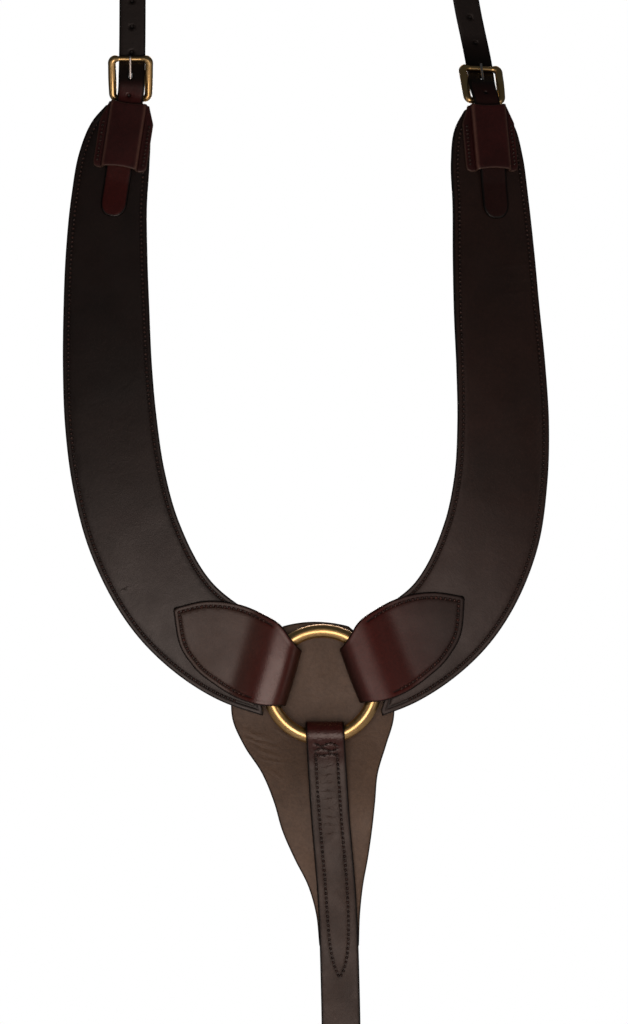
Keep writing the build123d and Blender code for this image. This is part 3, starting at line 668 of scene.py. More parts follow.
def ring_mesh():
    segments, around = 160, 40
    verts, faces = [], []
    for i in range(segments):
        a = 2 * math.pi * i / segments
        wire = RING_WIRE * (1 - 0.03 * (0.5 + 0.5 * math.sin(a)) ** 8)
        for j in range(around):
            b = 2 * math.pi * j / around
            reach = RING_RADIUS + wire * math.cos(b)
            verts.append((reach * math.cos(a) * MM, wire * math.sin(b) * MM, reach * math.sin(a) * MM))
    for i in range(segments):
        for j in range(around):
            k, m = (i + 1) % segments, (j + 1) % around
            faces.append((i * around + j, k * around + j, k * around + m, i * around + m))
    return new_object("brass_ring", verts, faces)


ring = ring_mesh()
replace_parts(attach(ring, "ring"), "centre_ring")
PIECES[ring.name] = "brass"

# ------------------------------------------------------------------ safe and girth strap


def girth_offset(height):
    return read_between(GIRTH_CENTRE, height, 1)


def path_surface(corners, radii, step=1.0):
    """place(t, c) on a strap whose side view is this path; returns it and the path."""
    path = Path.rounded(corners, radii, step)

    def place(t, across):
        y, z, wy, wz = path.at(t)
        return vec(girth_offset(z) + across, y, z), unit(vec(0, wz, -wy))

    return place, path.points, path.reach


def safe_surface():
    sewn = GIRTH_LEATHER + 0.05 + SAFE_LEATHER / 2
    front = SAFE_FRONT + SAFE_LEATHER / 2
    heights = np.linspace(-200, 62, 263)
    share = np.clip((heights + 102) / 86, 0, 1)
    depths = sewn + (front - sewn) * share * share * (3 - 2 * share)
    slopes = np.gradient(depths, heights)

    def place(x, z):
        slope = np.interp(z, heights, slopes)
        return vec(x, np.interp(z, heights, depths), z), unit(vec(0, -1, slope))

    return place


def safe_outline():
    left = smooth_curve([(row[1], row[0]) for row in SAFE_OUTLINE])
    right = smooth_curve([(row[2], row[0]) for row in SAFE_OUTLINE])
    down = [tuple(left(t)) for t in np.linspace(0, 1, 90)]
    back = [tuple(right(t)) for t in np.linspace(1, 0, 90)]
    a, b, c = vec(19, 42), vec(-5, 45.2), vec(-28, 42)
    top = [tuple((1 - t) ** 2 * a + 2 * t * (1 - t) * (2 * b - (a + c) / 2) + t * t * c)
           for t in np.linspace(0, 1, 16)[1:-1]]
    return down + back + top


piece = leather("safe_leather", safe_outline(), safe_surface(), SAFE_LEATHER, step=1.6, grid=(2.8, 2.8),
                groove=0.0, swell=0.0, wave=0.5)
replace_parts(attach(piece, "girth"), "safe")
PIECES[piece.name] = "safe"

half = GIRTH_LEATHER / 2
bulge = GIRTH_POCKET + half
top = GIRTH_AXIS + GIRTH_POCKET + half
heel_depth = -GIRTH_LEATHER - 2.5 - 2.0
over, behind = heel_depth - STRAP_OVER_HEEL, heel_depth - STRAP_BEHIND_TOE
girth_corners = [
    (half + 0.05, TURN_BACK_END), (half + 0.05, -62), (bulge, -44), (bulge, top), (-bulge, top),
    (-bulge, -38), (-4.0, -56), (-half, -90), (-half, GIRTH_LOOP_BOTTOM),
    (-GIRTH_LOOP_DEPTH, GIRTH_LOOP_BOTTOM),
    (-GIRTH_LOOP_DEPTH, -545), (behind, -485), (behind, GIRTH_HEEL - 28), (over, GIRTH_HEEL - 11),
    (over, GIRTH_POINT_END),
]
girth_place, girth_points, girth_reach = path_surface(
    girth_corners, [12, 6, 8, 8, 14, 40, 60, 21, 21, 40, 20, 8, 8])
total = girth_reach[-1]
wide = GIRTH_WIDTH / 2
girth_outline = [(0, 0.6), (20.5, wide - 0.5), (23, wide), (total - 15, wide),
                 (total - 12.5, wide - 0.8), (total - 0.6, 1.2), (total - 0.6, -1.2),
                 (total - 12.5, 0.8 - wide), (total - 15, -wide), (23, -wide),
                 (20.5, 0.5 - wide), (0, -0.6)]


def slot_loop(u, v, length, width, count=9):
    straight = (length - width) / 2
    loop = [(u + straight + width / 2 * math.cos(a), v + width / 2 * math.sin(a))
            for a in np.linspace(-math.pi / 2, math.pi / 2, count)]
    loop += [(u - straight + width / 2 * math.cos(a), v + width / 2 * math.sin(a))
             for a in np.linspace(math.pi / 2, 3 * math.pi / 2, count)]
    return loop


# the strap's last run, up through the buckle: where along it a height lies
last_run = [i for i, p in enumerate(girth_points) if p[0] < heel_depth + 1.5 and p[1] > -500
            and girth_reach[i] > total * 0.6]


def last_run_at(height):
    return float(np.interp(height, girth_points[last_run, 1], girth_reach[last_run]))


girth_holes = [slot_loop(last_run_at(GIRTH_HEEL - 14.8), 0, 16.4, 3.8)]
girth_dimples = [(last_run_at(GIRTH_HEEL - 14.8 + 25 * i), 0, 1.7) for i in (1, 2, 3)]
front_run = [i for i, p in enumerate(girth_points) if p[0] < 0 and -230 < p[1] < -28
             and girth_reach[i] < total * 0.5]
front_order = sorted(front_run, key=lambda i: girth_points[i][1])


def front_at(height):
    return float(np.interp(height, [girth_points[i][1] for i in front_order],
                           [girth_reach[i] for i in front_order]))


girth_rows = []
for hand in (-1, 1):
    girth_rows.append([(front_at(z), hand * 7.8 * (1 - math.exp(-(211 + z) / 13)))
                       for z in np.linspace(-49, -210.6, 120)])
for height, lean in ((-42.8, 1.1), (-46.6, -0.8), (-50.2, 0.6)):
    girth_rows.append([(front_at(height + lean * math.sin(c * 0.5)), c)
                       for c in np.linspace(-7.5, 8, 24)])


def girth_tint(t, _):
    height = np.interp(t, girth_reach, girth_points[:, 1])
    return float(np.clip((height + 62) / 20, 0, 1)) if t < front_at(-64) + 90 else 0.0


piece = leather("girth_strap_leather", girth_outline, girth_place, GIRTH_LEATHER, holes=girth_holes,
                step=1.4, grid=(1.4, 2.4), groove=0.0, wave=0.3, sewn=girth_rows, dimples=girth_dimples,
                tint=girth_tint)
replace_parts(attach(piece, "girth"), "girth_strap")
PIECES[piece.name] = "strap"
piece = stitches("girth_stitches", [row_on(line, girth_place, GIRTH_LEATHER / 2 - 0.1)
                                    for line in girth_rows], seed=31)
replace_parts(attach(piece, "girth"), "girth_strap_stitching")
PIECES[piece.name] = "girth_thread"

# ------------------------------------------------------------------ girth buckle and keepers


def frame_of(origin, x, z):
    return {"o": vec(*origin), "x": vec(*x), "z": vec(*z), "y": np.cross(vec(*z), vec(*x))}


def in_frame(plane, a, v, w):
    return plane["o"] + plane["x"] * a + plane["y"] * v + plane["z"] * w


GIRTH_PLANE = frame_of((girth_offset(GIRTH_HEEL), heel_depth, GIRTH_HEEL), (-1, 0, 0), (0, -1, 0))


def plane_strip(plane, corners, radii, step=0.8):
    """place(t, across) on a strap whose side view in this plane is this path."""
    path = Path.rounded(corners, radii, step)

    def place(t, across):
        v, w, wv, ww = path.at(t)
        return in_frame(plane, across, v, w), unit(plane["z"] * wv - plane["y"] * ww)

    return place, path.points, path.reach


def closed_tube(name, plane, centres, radii, segments=28):
    """A smooth ring-shaped tube lying near a plane, with a radius at each point."""
    verts, faces = [], []
    count = len(centres)
    for i, (centre, radius) in enumerate(zip(centres, radii)):
        way = unit(centres[(i + 1) % count] - centres[i - 1])
        side = unit(np.cross(way, plane["z"]))
        face = np.cross(side, way)
        for s in range(segments):
            turn = 2 * math.pi * s / segments
            verts.append((centre + (face * math.cos(turn) + side * math.sin(turn)) * radius) * MM)
    for i in range(count):
        for s in range(segments):
            t, k = (s + 1) % segments, (i + 1) % count
            faces.append((i * segments + s, i * segments + t, k * segments + t, k * segments + s))
    return new_object(name, verts, faces)


def buckle_parts(name, plane, width):
    """A cast buckle: one bowed ring, thin at its bars, thick at its sides and upper corners."""
    half_width = width / 2 + 3.4
    flare, low, high = 0.6, 4.2, 3.4
    corners = []
    for hand, v, size, first in ((1, 0, low, -90), (1, BUCKLE_REACH, high, 0),
                                 (-1, BUCKLE_REACH, high, 90), (-1, 0, low, 180)):
        middle = vec(hand * (half_width + (flare if v else 0) - size), size if v == 0 else v - size)
        for turn in np.linspace(math.radians(first + 3), math.radians(first + 87), 14):
            corners.append(middle + size * vec(math.cos(turn), math.sin(turn)))
    loop = even_loop(corners, 0.55)
    centres, radii = [], []
    for a, v in loop:
        up = float(np.clip(v / BUCKLE_REACH, 0, 1))
        out = float(np.clip((abs(a) - half_width + 5.2) / 4.4, 0, 1))
        out = out * out * (3 - 2 * out)
        bow = BUCKLE_BOW * up + 0.5 * math.sin(math.pi * up)
        side_bar = 2.6 + 0.35 * math.sin(math.pi * up) + 0.3 * math.exp(-(((up - 1) / 0.13) ** 2))
        cross_bar = HEEL_BAR - 0.1 if up < 0.5 else TOE_BAR - 0.1
        centres.append(in_frame(plane, a, v, bow))
        radii.append(cross_bar + (side_bar - cross_bar) * out)
    return closed_tube(name, plane, centres, radii)


def tongue_part(name, plane):
    """A bright steel tongue: an eye about the heel bar and a tapering blade over the toe bar."""
    eye = HEEL_BAR + 0.95
    slope = (BUCKLE_BOW + TOE_BAR + 1.2 + 0.1 - 2) / BUCKLE_REACH
    ring_points = [in_frame(plane, 0, eye * math.cos(a), eye * math.sin(a))
                   for a in np.linspace(math.radians(75), math.radians(75 + 330), 40)]
    wrap = tube("wrap", ring_points, [0.78] * 40, segments=20, squash=(plane["x"], 1.5))
    spine, radii = [], []
    for t in np.linspace(0, 1, 60):
        v = -0.5 + (BUCKLE_REACH + 2.6) * t
        spine.append(in_frame(plane, 0, v, 2 + slope * v + 0.25 * math.sin(math.pi * t)))
        end = float(np.clip((1 - t) / 0.04, 0, 1))
        radii.append((1.15 - 0.25 * t) * math.sqrt(0.08 + 0.92 * end * (2 - end)))
    return joined(name, [wrap, tube("bar", spine, radii, segments=24)])


def chape_strip(name, plane, width, corners, radii, thickness=2.0):
    place, points, reach = plane_strip(plane, corners, radii)
    length = reach[-1]
    half_wide = width / 2
    round_off = 3.0
    outline = [(0, half_wide - round_off), (round_off, half_wide), (length - round_off, half_wide),
               (length, half_wide - round_off), (length, round_off - half_wide),
               (length - round_off, -half_wide), (round_off, -half_wide), (0, round_off - half_wide)]
    bend = float(reach[int(np.argmax(points[:, 0]))])
    slot = slot_loop(bend, 0, 9.5, 3.8)
    piece = leather(name, outline, place, thickness, holes=[slot], step=1.3, grid=(1.1, 2.2),
                    groove=0.2, groove_at=2.6, grooved=lambda t, _: 1.0 if abs(t - bend) > 14 else 0.0)
    return piece, place, length


heel_middle = HEEL_BAR + 0.5 + 1.0
lap = 2.05
piece, place, total_chape = chape_strip(
    "girth_chape_leather", GIRTH_PLANE, GIRTH_WIDTH - 2,
    [(-52, -heel_middle), (heel_middle, -heel_middle), (heel_middle, heel_middle), (-4, heel_middle),
     (-16, -heel_middle + lap), (-52, -heel_middle + lap)],
    [0.93 * heel_middle, 0.93 * heel_middle, 4, 4])
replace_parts(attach(piece, "girth"), "girth_buckle_chape")
PIECES[piece.name] = "strap"
rows = []
for hand in (-1, 1):
    line = [(t, hand * 10.2) for t in np.linspace(total_chape - 3, total_chape - 22, 14)]
    rows.append(row_on(line, place, 1.0))
rows.append(row_on([(total_chape - 2.6, c) for c in np.linspace(-9.5, 9.5, 14)], place, 1.0))
piece = stitches("girth_buckle_stitches", rows, seed=41)
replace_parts(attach(piece, "girth"), "girth_buckle_stitching")
PIECES[piece.name] = "thread"

piece = buckle_parts("girth_buckle_brass", GIRTH_PLANE, GIRTH_WIDTH)
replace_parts(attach(piece, "girth"), "girth_buckle_frame")
PIECES[piece.name] = "brass"
piece = tongue_part("girth_tongue_steel", GIRTH_PLANE)
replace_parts(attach(piece, "girth_tongue"), "girth_buckle_tongue")
PIECES[piece.name] = "steel"


def keeper(name, distance, back, wide_along):
    wall = GIRTH_WIDTH / 2 + 0.4 + 1.0
    front = STRAP_OVER_HEEL + GIRTH_LEATHER / 2 + 0.2 + 1.0
    corners = [(0, back), (wall, back), (wall, front), (-wall, front), (-wall, back), (0, back)]
    path = Path.rounded(corners, [1.7] * 4, 0.8)
    plane = GIRTH_PLANE

    def place(t, along):
        a, w, wa, ww = path.at(t)
        return in_frame(plane, a, along, w), unit(plane["x"] * ww - plane["z"] * wa)

    length = path.reach[-1]
    low, high = -distance - wide_along, -distance
    outline = [(0, low), (length, low), (length, high), (0, high)]
    return leather(name, outline, place, 2.0, step=0.9, grid=(0.9, 1.8), groove=0.0, round_share=0.8)


piece = keeper("fixed_keeper_leather", 18, 0.65, 10)
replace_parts(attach(piece, "girth"), "girth_fixed_keeper")
PIECES[piece.name] = "strap"
piece = keeper("sliding_keeper_leather", 60, -8.7, 11)
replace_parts(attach(piece, "girth_keeper"), "girth_sliding_keeper")
PIECES[piece.name] = "strap"

# ------------------------------------------------------------------ shoulder buckles


def top_plane(side):
    sign = SIDES[side]
    out, height = HEEL_PLACE[side]
    depth, slope = bend_at(side, sign * out, height)
    axis = bend_axis(side)
    lean = math.radians(HEEL_LEAN[side])
    strap = vec(-sign * math.sin(lean), 0, math.cos(lean))
    strap = strap + vec(0, slope * (strap @ axis), 0)
    front = unit(axis * slope + vec(0, -1, 0))
    return frame_of((sign * out, depth, height), unit(np.cross(strap, front)), front)


def loop_plane(side):
    top = top_plane(side)
    turn = math.radians(SIDES[side] * (BOX_LOOP_LEAN[side] - HEEL_LEAN[side]))
    return frame_of(top["o"], top["x"] * math.cos(turn) + top["y"] * math.sin(turn), top["z"])


def buckle_plane(side):
    top = top_plane(side)
    turn = math.radians(BUCKLE_TURN[side])
    return frame_of(top["o"], top["x"], top["z"] * math.cos(turn) - top["y"] * math.sin(turn))


def saddle_strap(side):
    """One strap: its point under the box loop, through the buckle, up to its sewn eye."""
    plane, lower = buckle_plane(side), loop_plane(side)
    tilt = math.radians(BUCKLE_TURN[side])
    up = unit(vec(plane["y"][2], plane["z"][2]))
    back = vec(up[1], -up[0])
    overlap = STRAP_LEATHER + 0.05
    turn = vec(STRAP_TURN, STRAP_BEHIND_TOE)
    top = turn + up * (SADDLE_STRAP_LENGTH - STRAP_TURN)

    def lower_point(v, w):
        return vec(v * math.cos(tilt) + w * math.sin(tilt), -v * math.sin(tilt) + w * math.cos(tilt))

    over_bar = STRAP_OVER_HEEL * math.tan(tilt / 2)
    corners = [
        lower_point(-90.4, 4.1), lower_point(-64, 4.1), lower_point(-46, 6.2),
        vec(over_bar, STRAP_OVER_HEEL), vec(11, STRAP_OVER_HEEL), vec(28, STRAP_BEHIND_TOE), turn, top,
        top + up * 16 - back * EYE_FRONT, top + up * 42 - back * EYE_FRONT,
        top + up * 42 + back * (EYE_FRONT + overlap), top + up * 16 + back * (EYE_FRONT + overlap),
        top + back * overlap, top + back * overlap - up * EYE_LAP,
    ]
    radii = [20, 20, 9, 8, 8, 30, 10, 8, 11.5, 11.5, 8, 10]
    path = Path.rounded(corners, radii, 1.0)
    halfway = path.reach[-1] * 0.5

    def place(t, across):
        v, w, wv, ww = path.at(t)
        base = in_frame(plane, 0, v, w)
        wanted = SIDES[side] * read_between(SADDLE_STRAP_CENTRE[side], base[2], 1) + across
        high = base + plane["x"] * ((wanted - base[0]) / plane["x"][0])
        lv, lw = v * math.cos(tilt) - w * math.sin(tilt), v * math.sin(tilt) + w * math.cos(tilt)
        low = in_frame(lower, across, lv, lw)
        share = float(np.clip((lv + 8) / 24, 0, 1)) if t < halfway else 1.0
        share = share * share * (3 - 2 * share)
        normal = unit(plane["z"] * wv - plane["y"] * ww)
        return low * (1 - share) + high * share, normal

    return place, path.points, path.reach


for side in SIDES:
    plane, lower = buckle_plane(side), loop_plane(side)
    shoulder, buckle = f"{side}_shoulder", f"{side}_buckle"

    # box loop
    middle = SHOULDER_LAYER + BOX_LOOP_LEATHER / 2
    roof = STRAP_OVER_HEEL + STRAP_LEATHER / 2 + 0.3 + BOX_LOOP_LEATHER / 2
    wall = BOX_LOOP_WALL
    hat = Path.rounded([(-BOX_LOOP_FLANGE, middle), (-wall - 0.6, middle), (-wall, roof), (wall, roof),
                        (wall + 0.6, middle), (BOX_LOOP_FLANGE, middle)], [1.2, 1.9, 1.9, 1.2], 0.6)

    def hat_place(s, v):
        a, w, wa, ww = hat.at(s)
        dome = max(0.0, 1 - (a / wall) ** 2)
        w += 0.7 * dome if w > roof - 2.5 else 0.0
        normal = unit(lower["z"] * wa - lower["x"] * ww)
        return in_frame(lower, a, v, w), normal

    # Mask for a painted highlight: a lighter colour along the box loop's roof edges.
    def painted_edge_highlight(s, _):
        a, w, _, _ = hat.at(s)
        return math.exp(-(((abs(a) - wall + 0.5) / 0.55) ** 2)) if w > roof - 1.2 else 0.0

    wide_hat = hat.reach[-1]
    end = BOX_LOOP_TOP + BOX_LOOP_LENGTH + 2.0
    crown = wide_hat / 2
    outline = [(5, -BOX_LOOP_TOP), (0, -18), (0, 4 - end), (0.8, 1.2 - end), (3.5, -end)]
    outline += [(crown + x, -end + 1.1 * (1 - (x / 12) ** 2)) for x in np.linspace(-12, 12, 13)]
    outline += [(wide_hat - 3.5, -end), (wide_hat - 0.8, 1.2 - end), (wide_hat, 4 - end),
                (wide_hat, -18), (wide_hat - 5, -BOX_LOOP_TOP)]
    outline += [(crown + x, -BOX_LOOP_TOP - 1.5 * (1 - (x / 12) ** 2))
                for x in np.linspace(12, -12, 13)]
    piece = leather(f"{side}_box_loop_leather", outline, hat_place, BOX_LOOP_LEATHER, step=1.2,
                    grid=(0.6, 2.4), groove=0.0, tint=painted_edge_highlight)
    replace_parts(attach(piece, shoulder), f"{side}_box_loop")
    PIECES[piece.name] = "loop"
    rows = [row_on([(s, v) for v in np.linspace(-19, 4 - end, 30)], hat_place, BOX_LOOP_LEATHER / 2)
            for s in (2.8, wide_hat - 2.8)]
    piece = stitches(f"{side}_box_loop_stitches", rows, pitch=2.7, seed=51 + SIDES[side])
    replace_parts(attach(piece, shoulder), f"{side}_box_loop_stitching")
    PIECES[piece.name] = "thread"

    # strap, from its point to its eye
    place, points, reach = saddle_strap(side)
    length = reach[-1]
    half_strap = STRAP_WIDTH / 2
    tip = [(0.2 + 11 * (1 - math.cos(a)), half_strap * math.sin(a) ** 0.8) for a in
           np.linspace(0.12, math.pi / 2, 12)]
    outline = tip + [(length - 2.5, half_strap), (length, half_strap - 2.5), (length, 2.5 - half_strap),
                     (length - 2.5, -half_strap)]
    outline += [(u, -v) for u, v in tip[::-1]]
    heel_t = float(reach[int(np.argmin(np.abs(points[:, 0])[: len(points) // 2]))])
    tongue_t = heel_t + TONGUE_AT[side]
    off = float((plane["o"] - place(tongue_t, 0)[0]) @ plane["x"])
    holes = [slot_loop(tongue_t + 0.7, off, 5.6, 2.2)]
    dimples = [(tongue_t + HOLE_PITCH * (i + 1), off * 0.3, 1.45) for i in range(7)]
    dimples.append((heel_t + 2.0, off, 1.45))
    piece = leather(f"{side}_saddle_strap_leather", outline, place, STRAP_LEATHER, holes=holes,
                    step=1.4, grid=(1.6, 2.4), groove=0.0, wave=0.12, dimples=dimples,
                    tint=lambda s, _: TAIL_GLOW[side] * float(np.clip((heel_t + 14 - s) / 10, 0, 1)))
    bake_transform(piece)
    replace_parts(piece, f"{side}_saddle_strap", f"{side}_strap_point")
    PIECES[piece.name] = "saddle"
    rows = [row_on([(t, hand * (half_strap - 2.6)) for t in np.linspace(length - 3, length - 30, 24)],
                   place, STRAP_LEATHER / 2) for hand in (-1, 1)]
    rows.append(row_on([(length - 3, c) for c in np.linspace(-6.5, 6.5, 12)], place, STRAP_LEATHER / 2))
    piece = stitches(f"{side}_eye_stitches", rows, pitch=2.7, seed=61 + SIDES[side])
    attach(piece, buckle)
    PIECES[piece.name] = "thread"

    # buckle, its tongue and the chape that holds it
    legs = 40.0
    piece, _, _ = chape_strip(
        f"{side}_buckle_chape_leather", top_plane(side), STRAP_WIDTH - 1.4,
        [(-legs, -heel_middle), (heel_middle, -heel_middle), (heel_middle, heel_middle),
         (-legs, heel_middle)], [0.93 * heel_middle] * 2)
    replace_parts(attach(piece, shoulder), f"{side}_buckle_chape")
    PIECES[piece.name] = "saddle"
    piece = buckle_parts(f"{side}_buckle_brass", plane, STRAP_WIDTH)
    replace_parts(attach(piece, buckle), f"{side}_buckle_frame")
    PIECES[piece.name] = "brass"
    piece = tongue_part(f"{side}_tongue_steel", plane)
    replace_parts(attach(piece, f"{side}_tongue"), f"{side}_buckle_tongue")
    PIECES[piece.name] = "steel"

# ------------------------------------------------------------------ finishes


class Nodes:
    """Short hands for building a material's nodes."""

    def __init__(self, name):
        self.material = bpy.data.materials.new(name)
        self.material.use_nodes = True
        self.tree = self.material.node_tree
        self.shader = self.tree.nodes["Principled BSDF"]

    def add(self, kind, **values):
        node = self.tree.nodes.new(kind)
        for key, value in values.items():
            if key.startswith("in_"):
                node.inputs[key[3:].replace("_", " ")].default_value = value
            else:
                setattr(node, key, value)
        return node

    def link(self, a, out, b, into):
        self.tree.links.new(a.outputs[out], b.inputs[into])

    def coordinates(self):
        return self.add("ShaderNodeTexCoord")

    def noise(self, coordinates, scale, detail=4.0, rough=0.55, distort=0.0):
        node = self.add("ShaderNodeTexNoise", in_Scale=scale, in_Detail=detail, in_Roughness=rough,
                        in_Distortion=distort)
        self.link(coordinates, "Object", node, "Vector")
        return node

    def remap(self, node, out, low, high, to_low, to_high):
        spread = self.add("ShaderNodeMapRange")
        values = {"From Min": low, "From Max": high, "To Min": to_low, "To Max": to_high}
        for key, value in values.items():
            spread.inputs[key].default_value = value
        self.link(node, out, spread, "Value")
        return spread

    def mix(self, factor, factor_out, first, second, kind="MIX"):
        node = self.add("ShaderNodeMix", data_type="RGBA", blend_type=kind)
        self.link(factor, factor_out, node, "Factor")
        for socket, value in ((6, first), (7, second)):
            if isinstance(value, tuple):
                node.inputs[socket].default_value = value
            else:
                self.tree.links.new(value.outputs[2] if value.bl_idname == "ShaderNodeMix"
                                    else value.outputs["Color"], node.inputs[socket])
        return node

    def clouds(self, at, one, other, noise, low, high):
        """Two colours in soft clouds: returns the clouds and the mixed colour."""
        cloud = self.noise(at, *noise)
        shade = self.remap(cloud, "Fac", low, high, 0.0, 1.0)
        return cloud, self.mix(shade, "Result", one, other)

    def finish(self, colour, normal=None, **values):
        """Wire the colour and the bumps into the shader, and set its plain values."""
        self.tree.links.new(colour.outputs[2], self.shader.inputs["Base Color"])
        if normal is not None:
            self.link(normal, "Normal", self.shader, "Normal")
        for key, value in values.items():
            self.shader.inputs[key.replace("_", " ")].default_value = value
        return self.material

    def bump(self, node, out, strength, distance, before=None):
        bump = self.add("ShaderNodeBump", in_Strength=strength, in_Distance=distance)
        self.link(node, out, bump, "Height")
        if before is not None:
            self.link(before, "Normal", bump, "Normal")
        return bump


def srgb(r, g, b):
    """A colour on the 0 to 255 scale, as Blender's linear values."""
    linear = [c / 255 / 12.92 if c <= 10 else ((c / 255 + 0.055) / 1.055) ** 2.4 for c in (r, g, b)]
    return (*linear, 1.0)


def leather_finish(name, base, other, edge, rough=(0.34, 0.5), gloss=0.5, wrinkles=0.25, grain=0.3,
                   coat=0.0, tint_and_painted_light=None, creases_at=(), rim=(0.4, 1.3), rim_paint_and_highlight=None):
    n = Nodes(name)
    at = n.coordinates()
    _, colour = n.clouds(at, base, other, (18.0, 5.0, 0.6, 0.4), 0.32, 0.68)
    # The tint colour, laid on by the tint attribute, is real burgundy on the chapes and straps, and a
    # painted highlight along the box loop's roof edges.
    if tint_and_painted_light is not None:
        tint = n.add("ShaderNodeAttribute", attribute_name="tint")
        colour = n.mix(tint, "Fac", colour, tint_and_painted_light)
    fine = n.noise(at, 420.0, 3.0, 0.6)
    fleck = n.remap(fine, "Fac", 0.35, 0.75, 0.0, 0.3)
    flecked = n.mix(fleck, "Result", colour, edge)
    distance = n.add("ShaderNodeAttribute", attribute_name="edge_mm")
    border = n.remap(distance, "Fac", rim[0], rim[1], 1.0, 0.0)
    rimmed = n.mix(border, "Result", flecked, rim_paint_and_highlight or edge)
    # Stitch grooves and hole dents are darkened toward the edge colour: painted shade.
    furrow = n.add("ShaderNodeAttribute", attribute_name="furrow")
    painted_groove_shade = n.remap(furrow, "Fac", 0.25, 1.0, 0.0, 0.85)
    sewn = n.mix(painted_groove_shade, "Result", rimmed, edge)
    smooth = n.noise(at, 32.0, 4.0, 0.6, 0.2)
    roughness = n.remap(smooth, "Fac", 0.3, 0.7, rough[0], rough[1])
    if tint_and_painted_light is not None:
        polish = n.add("ShaderNodeMath", operation="MULTIPLY_ADD")
        polish.inputs[1].default_value = -0.15
        n.link(tint, "Fac", polish, 0)
        n.link(roughness, "Result", polish, 2)
        n.link(polish, "Value", n.shader, "Roughness")
    else:
        n.link(roughness, "Result", n.shader, "Roughness")
    creases = n.noise(at, 55.0, 6.0, 0.62, 1.2)
    wrinkle = n.bump(creases, "Fac", wrinkles, 0.0012)
    cells = n.add("ShaderNodeTexVoronoi", in_Scale=900.0)
    n.link(at, "Object", cells, "Vector")
    pores = n.bump(cells, "Distance", grain, 0.00015, wrinkle)
    last = n.bump(fine, "Fac", grain * 0.8, 0.0002, pores)
    if creases_at:
        drift = n.noise(at, 70.0, 3.0, 0.6)
        bent = n.add("ShaderNodeVectorMath", operation="MULTIPLY_ADD")
        bent.inputs[1].default_value = (0.008, 0.0, 0.008)
        n.link(drift, "Color", bent, 0)
        n.link(at, "Object", bent, 2)
    for x, z, angle, length, width, depth in creases_at:
        spot = n.add("ShaderNodeMapping", vector_type="TEXTURE")
        spot.inputs["Location"].default_value = (x * MM + 0.004, 0, z * MM + 0.004)
        spot.inputs["Rotation"].default_value = (0, math.radians(-angle), 0)
        spot.inputs["Scale"].default_value = (length * MM, 0.2, width * MM)
        n.link(bent, "Vector", spot, "Vector")
        ball = n.add("ShaderNodeTexGradient", gradient_type="SPHERICAL")
        n.link(spot, "Vector", ball, "Vector")
        last = n.bump(ball, "Fac", 1.0, depth * MM, last)
    return n.finish(sewn, last, Specular_IOR_Level=gloss, Coat_Weight=coat, Coat_Roughness=0.32)


def brass_finish(name, one, other):
    n = Nodes(name)
    at = n.coordinates()
    cloud, colour = n.clouds(at, one, other, (60.0, 5.0, 0.6, 0.3), 0.3, 0.7)
    roughness = n.remap(cloud, "Fac", 0.3, 0.7, 0.3, 0.36)
    n.link(roughness, "Result", n.shader, "Roughness")
    dents = n.noise(at, 240.0, 4.0, 0.55)
    return n.finish(colour, n.bump(dents, "Fac", 0.02, 0.0001), Metallic=1.0)


def thread_finish(name, one, other):
    n = Nodes(name)
    at = n.coordinates()
    _, colour = n.clouds(at, one, other, (300.0, 3.0, 0.6), 0.35, 0.65)
    twist = n.add("ShaderNodeTexWave", wave_type="BANDS", bands_direction="DIAGONAL", in_Scale=900.0,
                  in_Distortion=1.5)
    n.link(at, "Object", twist, "Vector")
    return n.finish(colour, n.bump(twist, "Fac", 0.5, 0.0002), Roughness=0.34, Specular_IOR_Level=0.6)


# Near black: the real paint on cut edges, and painted shade in stitch grooves and hole dents.
BLACK_EDGE_AND_GROOVE_SHADE = srgb(9, 7, 7)
# creases and scratches: x, z, direction in degrees, half length, half width, depth
ARM_CREASES = [
    (-142.6, 68.8, 32, 4.0, 0.8, 0.2), (140, 302, 8, 17, 2.6, 0.1), (136, 293, -6, 20, 2.8, 0.1),
    (140, 282, 6, 16, 2.6, 0.08),
]
STRAP_CREASES = [(3.2 + 0.35 * i, -58 - 6.1 * i, 5 - 3 * (i % 4), 6.2, 0.9, 0.16)
                 for i in range(9)]
SAFE_CREASES = [
    (-48, -36, -24, 16, 2.2, 0.22), (-44, -42, -18, 18, 2.0, 0.2), (-40, -48, -22, 15, 2.2, 0.2),
    (-36, -55, -14, 12, 2.0, 0.16), (-30, -35, -30, 10, 1.8, 0.14), (-33, -66, -34, 10, 2.2, 0.14),
    (2, 6, 24, 15, 2.6, 0.1), (-6, -10, -15, 13, 2.4, 0.08), (33, -60, 60, 12, 2.4, 0.12),
]
